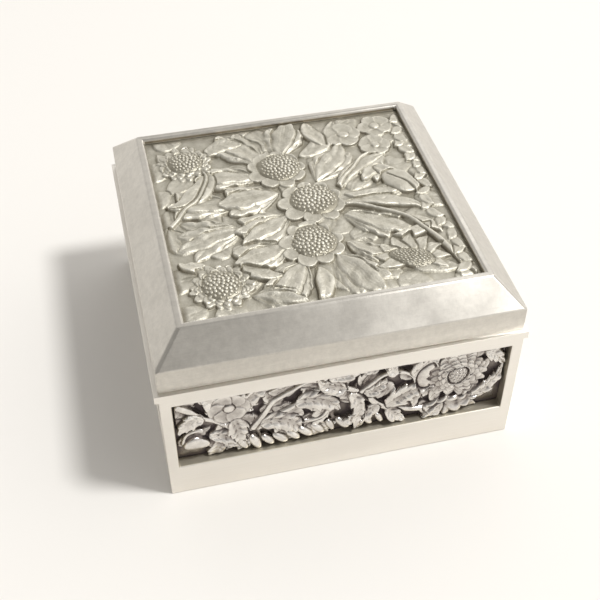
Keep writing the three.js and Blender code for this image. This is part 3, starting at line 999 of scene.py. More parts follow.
    def hollows(self, reach: float, depth: float, usual: float, line: float, steep: float,
                border: float) -> np.ndarray:
        """Works out how sheltered each place is from the rubbing that leaves the patina in the hollows, with
        painted shade added on steep sides and on the side of each form away from the lamp.

        Args:
            reach: How far around a place its neighbours count.
            depth: How far below them is fully sheltered.
            usual: How sheltered a place level with its neighbours is.
            line: How much the foot of each form adds.
            steep: How much a steep side adds: partly patina, partly painted shade that dims the reflections
                in steep sides.
            border: How much the corner along the frame adds.

        Returns:
            From 0 on high places to 1 in the deepest, for each cell.
        """
        near = blur(self.height, 0.4 * reach / self.step) - self.height
        wide = blur(self.height, reach / self.step) - self.height
        slope = np.hypot(*np.gradient(self.height, self.step))
        # Painted shade in part: steep sides are darkened beside the patina, and the ink brings its painted
        # shade on the side of each form away from the lamp.
        kept = line * blur(self.ink, 0.06 / self.step) + steep * smooth((slope - 0.5) / 1.3)
        inwards = np.minimum(self.half_u - np.abs(self.u)[None, :], self.half_v - np.abs(self.v)[:, None])
        kept += border * (1 - smooth(inwards / BORDER_REACH))
        return np.clip(usual + (0.5 * near + wide) / depth + kept, 0, 1)

    def sample(self, grid: np.ndarray, u: np.ndarray, v: np.ndarray) -> np.ndarray:
        """Reads a grid of this field's cells at any places.

        Args:
            grid: The grid.
            u: The places along the panel.
            v: The places across it.

        Returns:
            The grid's value at each place.
        """
        x = np.clip((u + self.half_u) / (self.u[1] - self.u[0]), 0, len(self.u) - 1.001)
        y = np.clip((v + self.half_v) / (self.v[1] - self.v[0]), 0, len(self.v) - 1.001)
        i, j = x.astype(int), y.astype(int)
        fx, fy = x - i, y - j
        return ((grid[j, i] * (1 - fx) + grid[j, i + 1] * fx) * (1 - fy)
                + (grid[j + 1, i] * (1 - fx) + grid[j + 1, i + 1] * fx) * fy)


# Node trees for what repeats

class Grower:
    """Builds the node trees that set seeds on a head and grains along an ear, and turns them to meshes."""

    SEED_SHAPE = (1.0, 1.0, 0.58)
    GRAIN_SHAPE = (1.0, 0.46, 0.5)
    CROWDING = 1.06

    def __init__(self, material: bpy.types.Material) -> None:
        """Builds both trees with the material that their seeds take."""
        self.material = material
        self.seed_tree = self._seed_tree()
        self.ear_tree = self._ear_tree()

    @staticmethod
    def _start(name: str, inputs: dict[str, tuple[str, Any]]) -> tuple[bpy.types.NodeTree, bpy.types.Node]:
        """Starts a tree that takes and gives a mesh.

        Args:
            name: Its name.
            inputs: Each further input's name, with its kind and usual value.

        Returns:
            The tree and the node that holds its inputs.
        """
        tree = bpy.data.node_groups.new(name, "GeometryNodeTree")
        tree.interface.new_socket("Geometry", in_out="INPUT", socket_type="NodeSocketGeometry")
        for label, (kind, value) in inputs.items():
            tree.interface.new_socket(label, in_out="INPUT", socket_type=kind).default_value = value
        tree.interface.new_socket("Geometry", in_out="OUTPUT", socket_type="NodeSocketGeometry")
        return tree, add(tree, "NodeGroupInput")

    def _end(self, tree: bpy.types.NodeTree, geometry: bpy.types.NodeSocket) -> None:
        """Ends a tree with Realize Instances and Set Material.

        Args:
            tree: The tree.
            geometry: What it has made.
        """
        real = add(tree, "GeometryNodeRealizeInstances", {}, {0: geometry}).outputs[0]
        dressed = add(tree, "GeometryNodeSetMaterial", {"Material": self.material},
                      {"Geometry": real}).outputs[0]
        add(tree, "NodeGroupOutput", {}, {0: dressed})

    def _seed_tree(self) -> bpy.types.NodeTree:
        """Builds the tree for seeds on a flat disc, in a real head's spirals and smaller towards its edge.

        Returns:
            The tree.
        """
        tree, given = self._start("seeds_on_a_head", {
            "Count": ("NodeSocketInt", 80), "Radius": ("NodeSocketFloat", 3.5 * MM),
            "Seed": ("NodeSocketFloat", 0.4 * MM), "Cover": ("NodeSocketFloat", 0.96)})

        def math_node(operation: str, *values: Any) -> bpy.types.NodeSocket:
            """Adds one step of arithmetic.

            Args:
                operation: The operation.
                values: Sockets or numbers.

            Returns:
                The result's socket.
            """
            node = add(tree, "ShaderNodeMath", {"operation": operation})
            for i, value in enumerate(values):
                if isinstance(value, bpy.types.NodeSocket):
                    tree.links.new(value, node.inputs[i])
                else:
                    node.inputs[i].default_value = value
            return node.outputs[0]

        index = add(tree, "GeometryNodeInputIndex").outputs[0]
        share = math_node("SQRT", math_node("DIVIDE", math_node("ADD", index, 0.5), given.outputs["Count"]))
        spread = math_node("MULTIPLY", share, given.outputs["Cover"])
        reach = math_node("MULTIPLY", spread, given.outputs["Radius"])
        angle = math_node("MULTIPLY", index, GOLDEN_ANGLE)
        place = add(tree, "ShaderNodeCombineXYZ", {}, {
            "X": math_node("MULTIPLY", reach, math_node("COSINE", angle)),
            "Y": math_node("MULTIPLY", reach, math_node("SINE", angle)),
            "Z": math_node("MULTIPLY", given.outputs["Seed"], -0.15)}).outputs[0]
        points = add(tree, "GeometryNodePoints", {},
                     {"Count": given.outputs["Count"], "Position": place}).outputs[0]
        ball = add(tree, "GeometryNodeMeshUVSphere", {"Segments": 8, "Rings": 5},
                   {"Radius": given.outputs["Seed"]}).outputs[0]
        size = add(tree, "ShaderNodeMapRange", {"From Min": 0.6, "To Min": 1.0, "To Max": 0.7},
                   {"Value": share}).outputs[0]
        flat = add(tree, "GeometryNodeTransform", {"Scale": self.SEED_SHAPE}, {"Geometry": ball}).outputs[0]
        set_on = add(tree, "GeometryNodeInstanceOnPoints", {}, {
            "Points": points, "Instance": flat, "Scale": size}).outputs[0]
        self._end(tree, set_on)
        return tree

    def _ear_tree(self) -> bpy.types.NodeTree:
        """Builds the tree for plump grains side by side along a line of points, each leaning across it.

        Returns:
            The tree.
        """
        tree, given = self._start("grains_on_an_ear", {
            "Count": ("NodeSocketInt", 18), "Grain": ("NodeSocketFloat", 1.2 * MM),
            "Lean": ("NodeSocketFloat", 2.2)})
        line = add(tree, "GeometryNodeMeshToCurve", {}, {0: given.outputs["Geometry"]}).outputs[0]
        points = add(tree, "GeometryNodeResampleCurve", {},
                     {0: line, "Count": given.outputs["Count"]}).outputs[0]
        ball = add(tree, "GeometryNodeMeshIcoSphere", {"Subdivisions": 3},
                   {"Radius": given.outputs["Grain"]}).outputs[0]
        grain = add(tree, "GeometryNodeTransform", {"Scale": self.GRAIN_SHAPE}, {"Geometry": ball}).outputs[0]
        sway, size = (
            add(tree, "FunctionNodeRandomValue",
                {"data_type": "FLOAT", 2: low, 3: high, "Seed": seed}).outputs[1]
            for low, high, seed in ((-0.3, 0.3, 11), (0.72, 1.15, 5)))
        lean = add(tree, "ShaderNodeMath", {"operation": "ADD"},
                   {0: sway, 1: given.outputs["Lean"]}).outputs[0]
        tangent = add(tree, "GeometryNodeInputTangent").outputs[0]
        facing = add(tree, "FunctionNodeAlignRotationToVector", {"axis": "X"}, {"Vector": tangent}).outputs[0]
        turn = add(tree, "FunctionNodeAxisAngleToRotation", {"Axis": (0, 0, 1)}, {"Angle": lean}).outputs[0]
        turned = add(tree, "FunctionNodeRotateRotation", {"rotation_space": "LOCAL"},
                     {"Rotation": facing, "Rotate By": turn}).outputs[0]
        row = add(tree, "GeometryNodeInstanceOnPoints", {}, {
            "Points": points, "Instance": grain, "Rotation": turned, "Scale": size}).outputs[0]
        self._end(tree, row)
        return tree

    @staticmethod
    def _grown(tree: bpy.types.NodeTree, base: bpy.types.Mesh, values: dict[str, Any]) -> bpy.types.Mesh:
        """Runs a tree on a mesh.

        Args:
            tree: The tree.
            base: The mesh.
            values: The tree's inputs by name.

        Returns:
            The plain mesh that comes out.
        """
        obj = new_object("growing", base)
        modifier = obj.modifiers.new("grow", "NODES")
        modifier.node_group = tree
        for item in tree.interface.items_tree:
            if item.in_out == "INPUT" and item.name in values:
                modifier[item.identifier] = values[item.name]
        mesh = baked(obj)
        bpy.data.objects.remove(obj)
        return mesh

    def head(self, head: SeedHead, carved: Carving) -> bpy.types.Mesh:
        """Grows the seeds of one head and sets them on the carved surface, in the panel's own frame.

        Args:
            head: The head.
            carved: The finished carving that it is part of.

        Returns:
            The seeds' mesh.
        """
        seed = self.CROWDING * head.cover * head.radius * math.sqrt(head.squash) / math.sqrt(head.count)
        mesh = self._grown(self.seed_tree, bpy.data.meshes.new("seeds"), {
            "Count": head.count, "Radius": head.radius * MM, "Seed": seed * MM, "Cover": head.cover})
        place = Matrix.Rotation(head.turn, 4, "Z") @ Matrix.Diagonal((1, head.squash, 1, 1))
        mesh.transform(Matrix.Translation(Vector((*carved.drifted(head.centre), 0)) * MM) @ place)
        for vertex in mesh.vertices:
            u, v, _ = vertex.co / MM
            vertex.co.z += float(carved.sample(carved.height, np.float64(u), np.float64(v))) * MM
        return mesh

    def ear(self, ear: GrainEar) -> bpy.types.Mesh:
        """Grows the grains of one ear, in the panel's own frame.

        Args:
            ear: The ear.

        Returns:
            The grains' mesh.
        """
        base = bpy.data.meshes.new("ear")
        points = [Vector((u, v, ear.lift)) * MM for u, v in ear.path]
        base.from_pydata(points, [(i, i + 1) for i in range(len(points) - 1)], [])
        return self._grown(self.ear_tree, base, {"Count": ear.count, "Grain": ear.length / 2 * MM,
                                                 "Lean": ear.lean})


# Plaques

class Wall(Enum):
    """The four walls, each with the turn about +Z that takes the front wall to it."""

    FRONT = ("front", 0)
    BACK = ("back", 180)
    LEFT = ("left", -90)
    RIGHT = ("right", 90)


@dataclass
class Plaque:
    """A relief plaque: a carved field with a plain lap round it that lies behind its frame.

    Attributes:
        node: The CAD node that it stands for.
        place: Where its panel's own frame lies.
        half_u: Half the carved field's width, in millimetres as all of its sizes.
        half_v: Half the field's height.
        lap: The lap's width.
        thickness: The plate's thickness under the carving.
        budget: How many triangles it may have.
        finest: The size of the field's cells.
    """

    node: str
    place: Matrix
    half_u: float
    half_v: float
    lap: float
    thickness: float
    budget: int = 150000
    finest: float = 0.1

    def carving(self) -> Carving:
        """An uncut field of this plaque's size."""
        return Carving(self.half_u, self.half_v, self.finest)

    def mesh(self, carved: Carving) -> bpy.types.Mesh:
        """Turns a carving into one closed plate, in the panel's own frame.

        Args:
            carved: The finished carving.

        Returns:
            The plate's mesh, within this plaque's budget of triangles.
        """
        gap = 0.01
        u, v = (np.concatenate([[-half - self.lap, -half - gap], cells, [half + gap, half + self.lap]])
                for half, cells in ((self.half_u, carved.u), (self.half_v, carved.v)))
        h = np.pad(carved.height, 2)
        nu, nv = len(u), len(v)
        uu, vv = np.meshgrid(u, v)
        top = np.stack([uu.ravel(), vv.ravel(), h.ravel()], 1)
        index = np.arange(nu * nv).reshape(nv, nu)
        quads = np.stack([index[:-1, :-1], index[:-1, 1:], index[1:, 1:], index[1:, :-1]], -1).reshape(-1, 4)
        rim = np.concatenate([index[0, :-1], index[:-1, -1], index[-1, :0:-1], index[:0:-1, 0]])
        low = top[rim].copy()
        low[:, 2] = -self.thickness
        below = np.arange(len(rim)) + len(top)
        sides = np.stack([rim, below, np.roll(below, -1), np.roll(rim, -1)], 1)
        mesh = bpy.data.meshes.new(self.node)
        faces = [*quads.tolist(), *sides.tolist(), below[::-1].tolist()]
        mesh.from_pydata(np.vstack([top, low]) * MM, [], faces)
        if 2 * len(quads) > self.budget:
            obj = new_object("cutting", mesh)
            obj.modifiers.new("thin", "DECIMATE").ratio = self.budget / (2 * len(quads))
            mesh = baked(obj)
            bpy.data.objects.remove(obj)
        return mesh

    def build(self, carved: Carving, hollow: np.ndarray, grower: Grower, name: str) -> bpy.types.Object:
        """Joins the plate with its seeds and grains, marks its hollows and puts it in its place.

        Args:
            carved: The finished carving.
            hollow: How sheltered each cell is.
            grower: What grows the seeds.
            name: The piece's name.

        Returns:
            The finished object.
        """
        parts = [self.mesh(carved)]
        parts += [grower.head(head, carved) for head in carved.heads]
        parts += [grower.ear(ear) for ear in carved.ears]
        whole = bmesh.new()
        for part in parts:
            whole.from_mesh(part)
        mesh = plain_mesh(name, whole)
        points = np.empty(len(mesh.vertices) * 3)
        mesh.vertices.foreach_get("co", points)
        u, v, h = points.reshape(-1, 3).T / MM
        over = np.clip((h - carved.sample(carved.height, u, v) - 0.05) / 0.2, 0, 1)
        value = carved.sample(hollow, u, v) * (1 - over)
        mesh.attributes.new("hollow", "FLOAT", "POINT").data.foreach_set("value", value.astype(np.float32))
        mesh.transform(self.place)
        mesh.materials.append(grower.material)
        mesh.shade_smooth()
        return new_object(name, mesh)


class LidRelief:
    """The lid's plaque: broad flowing leaves and five blossoms, low and satin."""

    BLOSSOMS = ((-2.4, 13.6, 7.4, 0.7), (2.6, 0.6, 8.0, 1.0), (-0.8, -12.8, 7.6, 0.8))
    RUFFLED = ((-22.4, 20.6, 6.4), (-21.6, -21.4, 6.8))
    FANS = (
        ((-5, 17), (-14.6, 29.0), 11.0, 3), ((-1, 18), (3.4, 31.0), 10.4, 3),
        ((-7, 11.5), (-21.6, 13.4), 9.6, 3), ((-14, 3.0), (-29.6, 6.0), 10.0, 3),
        ((-4, 5.0), (-18.6, 3.6), 10.6, 3), ((-14, -5.0), (-29.6, -7.0), 11.0, 4),
        ((-3, -2.5), (-16.4, -8.8), 10.6, 4), ((-6, -12), (-18.4, -16.6), 9.4, 3),
        ((-4, -18), (-12.6, -30.4), 10.0, 3), ((3, -17), (9.8, -31.2), 10.4, 3),
        ((5, 7.5), (14.6, 20.0), 9.4, 3), ((8, -5), (20.4, -13.4), 9.4, 3),
        ((22, 13), (14.6, 4.4), 6.6, 3), ((-16, -25.5), (-5.4, -29.6), 6.6, 3),
        ((6, -14), (14.6, -20.8), 6.6, 3),
    )
    BLADES = (
        ((3.5, 17.0), (14.6, 29.6), 5.2, -0.12), ((-17.5, 15.6), (-28.4, 4.6), 5.4, 0.14),
        ((-17.5, 21.8), (-7.8, 25.0), 5.0, 0.15), ((-16.0, -16.6), (-8.8, -21.0), 4.4, -0.15),
        ((9.5, 4.0), (23.0, 13.8), 4.0, 0.12), ((10.2, 1.6), (25.2, 2.2), 3.8, -0.12),
        ((10.0, -1.6), (26.2, -8.0), 4.0, 0.12), ((-1.4, -20.2), (-3.6, -31.0), 4.2, 0.12),
        ((-23.0, -15.2), (-29.4, -12.6), 4.4, 0.12), ((20.0, -9.4), (26.6, -15.8), 3.8, 0.12),
        ((10.8, 20.0), (8.2, 30.4), 4.6, 0.14), ((25, -12), (16.0, -14.4), 3.4, 0.15),
    )
    STEMS = (
        (((-28.8, -1.5), (-21.0, 8.0), (-18.6, 14.0), (-19.8, 17.0)), 1.2),
        (((28.4, -29.4), (25.2, -18.0), (20.0, -8.6), (13.0, -3.4), (9.0, -2.0)), 1.5),
        (((9.5, 5.0), (16.0, 12.5), (21.5, 16.0)), 1.1),
    )
    ROSES = ((15.2, 22.8, 4.4), (23.4, 24.8, 4.2), (21.4, 17.4, 3.8))
    SCALED_STEM = ((29.2, 28.0), (27.6, 16.0), (28.8, 6.0), (26.4, -6.0), (28.6, -18.0), (27.0, -29.5))
    GROUND_APART = 7.4
    GROUND_LEAF = LeafCut(lift=0.16, crown=0.15, arch=0.05, lean=0.16, veins=4, groove=0.05, edge=0.4,
                          foot=0.4)
    FINGER = LeafCut(rise=0.2, arch=0.12, crown=0.2, rib=0.05, lobes=3, notch=0.14, veins=5, groove=0.05,
                     flutes=5, fullness=1.15, point=0.6, ripple=0.14, edge=0.6)
    BLADE = LeafCut(arch=0.3, crown=0.24, lean=0.4, veins=7, groove=0.08, fullness=0.85, ripple=0.14,
                    edge=0.4)
    SEED = 7

    def _ground(self, carved: Carving, rng: np.random.Generator) -> None:
        """Sets low leaves on the ground that grow away from the nearest blossom.

        Args:
            carved: The field.
            rng: What places them.
        """
        flowers = [(b[0], b[1]) for b in self.BLOSSOMS + self.RUFFLED]
        placed: list[np.ndarray] = []
        for _ in range(3000):
            p = rng.uniform((-carved.half_u, -carved.half_v), (carved.half_u, carved.half_v))
            if all(np.hypot(*(p - q)) > self.GROUND_APART for q in placed):
                placed.append(p)
        for p in placed:
            near = min(flowers, key=lambda f: math.hypot(p[0] - f[0], p[1] - f[1]))
            angle = math.atan2(p[1] - near[1], p[0] - near[0]) + rng.uniform(-0.7, 0.7)
            length = rng.uniform(8.0, 12.5)
            way = np.array([math.cos(angle), math.sin(angle)])
            base = p - 0.35 * length * way
            carved.leaf(tuple(base), tuple(base + length * way), rng.uniform(5.5, 8.0),
                        rng.uniform(-0.15, 0.15), self.GROUND_LEAF)

    def carve(self, carved: Carving) -> None:
        """Cuts the whole design into a field.

        Args:
            carved: The field.
        """
        rng = np.random.default_rng(self.SEED)
        self._ground(carved, rng)
        for i, (base, tip, width, fingers) in enumerate(self.FANS):
            lean = -0.42 if i % 4 == 1 else 0.4
            carved.fan(base, tip, width, fingers, replace(self.FINGER, lift=0.28 + 0.05 * (i % 3), lean=lean))
        for i, (base, tip, width, bend) in enumerate(self.BLADES):
            carved.leaf(base, tip, width, bend, replace(self.BLADE, lift=0.36 + 0.06 * (i % 2)))
        for path, width in self.STEMS:
            carved.stem(flow(path), width, 0.5)
        self._bud(carved)
        for x, y, radius in self.ROSES:
            carved.rose((x, y), radius, 5, 0.5, turn=x)
        self._cone(carved, (18.0, -22.0))
        self._scales(carved)
        for x, y, radius in self.RUFFLED:
            carved.ruffled((x, y), radius, 0.45, rng)
        for x, y, radius, lean in self.BLOSSOMS:
            carved.blossom((x, y), radius, 0.5, lean=lean)
        carved.weather(rng, spacing=0.6, height=0.022)
        carved.finish(rounding=0.075, margin=1.4, top=1.5)

    @staticmethod
    def _bud(carved: Carving) -> None:
        """Cuts a smooth round bud held in two sepals."""
        carved.leaf((18.5, 9.5), (23.5, 2.0), 4.0, 0.1, LeafCut(lift=0.5, crown=0.3))
        carved.dome((22.6, 3.0), 4.8, 0.45, 0.7, squash=0.62, turn=-1.1)
        carved.leaf((20.6, 6.6), (25.4, -2.0), 2.8, 0.22, LeafCut(lift=0.8, crown=0.2))

    @staticmethod
    def _cone(carved: Carving, centre: Point) -> None:
        """Cuts a scaly cone in a ring of narrow leaves.

        Args:
            carved: The field.
            centre: The cone's centre.
        """
        for k in range(9):
            angle = math.radians(-35 + 28 * k)
            way = np.array([math.cos(angle), 0.94 * math.sin(angle)])
            cut = LeafCut(lift=0.42, crown=0.16, lean=0.2, flutes=2, flute=0.05)
            carved.leaf(tuple(centre + 1.5 * way), tuple(centre + 8.0 * way), 3.4, 0.08, cut)
        carved.dome(centre, 4.6, 0.5, 0.6, squash=0.62, turn=-0.5, under=0.8)
        carved.heads.append(SeedHead(centre, 4.6, 80, squash=0.62, turn=-0.5))

    def _scales(self, carved: Carving) -> None:
        """Cuts a stem of overlapping scale leaves down the right edge.

        Args:
            carved: The field.
        """
        path = flow(self.SCALED_STEM)
        cut = LeafCut(lift=0.45, rise=0.15, crown=0.2, arch=0)
        for j, s in enumerate(np.linspace(len(path) - 2, 0, 24).astype(int)):
            way = path[s + 1] - path[s]
            way /= np.hypot(*way)
            side = (-1) ** j
            left = np.array([-way[1], way[0]]) * side
            base = path[s] - 0.4 * left
            carved.leaf(tuple(base), tuple(path[s] + 3.4 * way + 2.0 * left), 2.8, -0.15 * side, cut)


class WallRelief:
    """A wall's plaque, deep and dark: a scrolling stem with leaves, two flowers, buds and an ear of grain."""

    STEMS = (
        (((-34.5, 7.5), (-27.0, 1.5), (-19.0, -3.0), (-11.0, 1.5), (-4.0, 5.5), (3.5, 2.0), (9.0, -4.0),
          (17.0, -6.5), (27.0, -6.0), (34.5, -2.0)), 1.7),
        (((-19, -3), (-14, 4.5), (-8.0, 7.5), (-3, 8.8)), 1.4),
        (((3.5, 2.0), (8.5, 6.0), (14.5, 4.5), (15.5, -0.5), (11.0, -1.8)), 1.3),
        (((-4, 5.5), (-2.5, 0.0), (-6.5, -4.0), (-12.0, -3.0)), 1.2),
    )
    LEAVES = (
        ((-17.5, -2.0), (-8.0, -6.5), 5.6, 0.15, 4), ((-23.5, 0.5), (-15.0, 8.0), 6.2, 0.15, 4),
        ((-10.5, 2.6), (-0.5, -2.2), 5.8, 0.16, 4), ((0.5, 3.8), (-5.5, 9.2), 4.6, 0.1, 3),
        ((4.0, 1.6), (9.5, 4.4), 4.4, -0.15, 3), ((9.5, -4.2), (20.0, -0.6), 5.8, 0.16, 5),
        ((7.5, -2.5), (-0.5, -5.6), 5.2, 0.16, 4), ((17.5, -6.3), (31.5, -4.4), 5.2, -0.12, 6),
        ((15.0, 4.0), (21.5, 9.0), 4.6, 0.15, 3), ((12.0, 5.6), (9.6, 9.6), 3.6, 0.1, 2),
        ((28.0, -5.5), (34.8, 3.0), 4.2, -0.15, 3), ((-29.0, 3.0), (-34.6, 0.0), 4.2, -0.15, 3),
        ((18.5, 7.5), (16.6, -1.5), 5.2, 0.08, 0), ((-3.0, 8.5), (4.5, 9.2), 3.8, -0.1, 2),
        ((30.0, 8.0), (35.0, 3.0), 4.0, 0.1, 3), ((-28.5, -3.0), (-20.5, -7.0), 4.8, 0.12, 3),
        ((-25.5, 3.0), (-30.0, 9.2), 4.6, -0.12, 3), ((1.0, 2.5), (2.5, -8.5), 4.2, 0.15, 4),
        ((10.0, -4.5), (14.0, -9.4), 3.8, -0.1, 2), ((22.0, -6.5), (17.0, -9.6), 3.4, 0.1, 2),
    )
    EAR = ((-21.5, -7.4), (-12.0, -7.6), (-2.0, -6.6), (8.0, -7.2))
    GROUND_LEAF = LeafCut(serrated=True, crown=0.3, lean=0.3, veins=5, groove=0.12, rib=0.15)
    LEAF = LeafCut(notch=0.34, serrated=True, rise=0.15, arch=0.2, crown=0.6, lean=0.75, rib=0.25, veins=6,
                   groove=0.22, ripple=0.3, edge=0.16)
    ROSE_LEAF = LeafCut(lobes=4, notch=0.3, serrated=True, lift=1.1, crown=0.4, lean=0.5, rib=0.25, veins=5,
                        groove=0.2, ripple=0.2, foot=0.7)
    DRAWN_HALF = 35.1

    def __init__(self, wall: Wall) -> None:
        """Keeps which wall it is for, which sets its random leaves."""
        self.wall = wall
        self.seed = 3 + abs(wall.value[1]) // 90

    def carve(self, carved: Carving) -> None:
        """Cuts the whole design into a field.

        Args:
            carved: The field.
        """
        rng = np.random.default_rng(self.seed)
        way = -1 if self.wall in (Wall.BACK, Wall.RIGHT) else 1
        fit = way * carved.half_u / self.DRAWN_HALF
        for x in np.arange(-carved.half_u, carved.half_u, 1.1):
            angle = rng.uniform(0, 2 * math.pi)
            y = rng.uniform(-carved.half_v, carved.half_v)
            length = rng.uniform(6, 9)
            tip = (x + length * math.cos(angle), y + length * math.sin(angle))
            cut = replace(self.GROUND_LEAF, lobes=int(rng.integers(2, 5)), lift=rng.uniform(0.35, 0.75))
            carved.leaf((x, y), tip, rng.uniform(3.6, 5.2), rng.uniform(-0.2, 0.2), cut)

        def fitted(point: Point) -> Point:
            """A place in the design, fitted to this wall's length, and mirrored on the back and the right."""
            return (point[0] * fit, point[1])

        for path, width in self.STEMS:
            carved.stem(flow([fitted(p) for p in path]), width, 0.95)
        carved.stem(curl(fitted((-31.0, -4.2)), 3.4, 1.2, 1.15), 1.1, 0.8, 0.4)
        for i, (base, tip, width, bend, lobes) in enumerate(self.LEAVES):
            cut = replace(self.LEAF, lobes=lobes, lift=0.85 + 0.14 * (i % 3))
            carved.leaf(fitted(base), fitted(tip), width, way * bend, cut)
        carved.dome(fitted((17.8, 3.4)), 3.8, 0.9, 0.9, squash=0.55, turn=way * 1.45)
        carved.dome(fitted((-31.2, -5.0)), 2.5, 0.8, 0.9, squash=0.75, turn=way * 0.2)
        rose = fitted((-23.8, 4.4))
        carved.rose(rose, 4.4, 6, 1.3)
        carved.leaf((rose[0] + way * 0.8, 0.8), (rose[0] + way * 1.6, -6.8), 5.6, way * 0.06, self.ROSE_LEAF)
        carved.ruffled(fitted((24.6, 1.8)), 6.9, 0.95, rng, head=0.34, seeds=26, rise=0.14, foot=0.74)
        ear = flow([fitted(p) for p in self.EAR])
        carved.ears.append(GrainEar(ear, 12, 0.85, 4.3, way * 2.1))
        carved.weather(rng, spacing=0.7, height=0.022)
        carved.finish(rounding=0.05, margin=0.4, top=2.5)


# Frames

@dataclass
class Frames:
    """The plain pewter pieces: the CAD solids with their edges eased and a map for the brushing.

    Attributes:
        mitre_mm: How wide the easing of a mitred corner is.
        worn_share: The easing of a worn edge, as a share of a mitre's.
        straight: An edge with a larger part than this along one axis is no mitre.
    """

    mitre_mm: float = 0.7
    worn_share: float = 0.8
    straight: float = 0.9

    def eased(self, node: str, joint: PlaceTest, finish: bpy.types.Material,
              second: bpy.types.Material | None = None, marked: FaceTest | None = None, share: float = 0.4,
              worn: PlaceTest | None = None) -> bpy.types.Object:
        """Copies a CAD node and eases its edges.

        Args:
            node: The CAD node.
            joint: Says whether a point, in millimetres, lies on a soldered joint, whose edges stay sharp.
            finish: Its material.
            second: The material of some of its faces.
            marked: Says which faces take it.
            share: The easing of a straight edge, as a share of a mitre's.
            worn: Says whether a point lies on a worn edge, which takes the finish of the main faces.

        Returns:
            The new piece.
        """
        cut = bmesh.new()
        cut.from_mesh(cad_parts[node].data)
        bmesh.ops.remove_doubles(cut, verts=cut.verts, dist=0.001 * MM)
        bmesh.ops.dissolve_limit(cut, angle_limit=math.radians(1), verts=cut.verts, edges=cut.edges)
        weight = cut.edges.layers.float.new("bevel_weight_edge")
        for edge in cut.edges:
            if edge.calc_face_angle(0) > math.radians(20) and not all(joint(v.co / MM) for v in edge.verts):
                way = (edge.verts[1].co - edge.verts[0].co).normalized()
                rounded = worn is not None and all(worn(v.co / MM) for v in edge.verts)
                plain = 1.0 if max(map(abs, way)) < self.straight else share
                edge[weight] = self.worn_share if rounded else plain
        mesh = plain_mesh(f"eased_{node}", cut)
        mesh.materials.append(finish)
        mesh.shade_smooth()
        if second:
            mesh.materials.append(second)
            for face in mesh.polygons:
                face.material_index = int(marked(face))
        obj = new_object(f"pewter_{node}", mesh)
        bevel = obj.modifiers.new("ease", "BEVEL")
        bevel.limit_method = "WEIGHT"
        bevel.width = self.mitre_mm * MM
        bevel.segments = 3
        bevel.material = 0 if worn else -1
        baked(obj).set_sharp_from_angle(angle=math.radians(40))
        flat = obj.modifiers.new("flat", "WEIGHTED_NORMAL")
        flat.keep_sharp = True
        flat.weight = 100
        baked(obj)
        self._map_brushing(obj.data)
        return obj

    @staticmethod
    def round_the_opening(plaque: str) -> FaceTest:
        """Makes the test for a face that lies round the opening in front of a plaque.

        Args:
            plaque: The plaque's CAD node.

        Returns:
            The test.
        """
        low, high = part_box(plaque)
        size = high - low
        thin = min(range(3), key=lambda axis: size[axis])

        def marked(face: bpy.types.MeshPolygon) -> bool:
            """Whether the face lies there."""
            within = all(low[axis] < face.center[axis] < high[axis] for axis in range(3) if axis != thin)
            return within and abs(face.normal[thin]) < 0.1

        return marked

    @staticmethod
    def _map_brushing(mesh: bpy.types.Mesh) -> None:
        """Maps each face in millimetres: along its longer way round the box, and across it.

        Args:
            mesh: The mesh, which gets the map "brush".
        """
        layer = mesh.uv_layers.new(name="brush").data
        for face in mesh.polygons:
            # A level face has no way of its own, so it takes that of the side it lies at.
            way = face.normal if abs(face.normal.z) < 0.9 else face.center
            turned = abs(way.x) > abs(way.y)
            for loop in face.loop_indices:
                p = mesh.vertices[mesh.loops[loop].vertex_index].co / MM
                along, across = (p.y, p.x) if turned else (p.x, p.y)
                layer[loop].uv = (along, across + p.z * 1.3)


# Velvet and felt

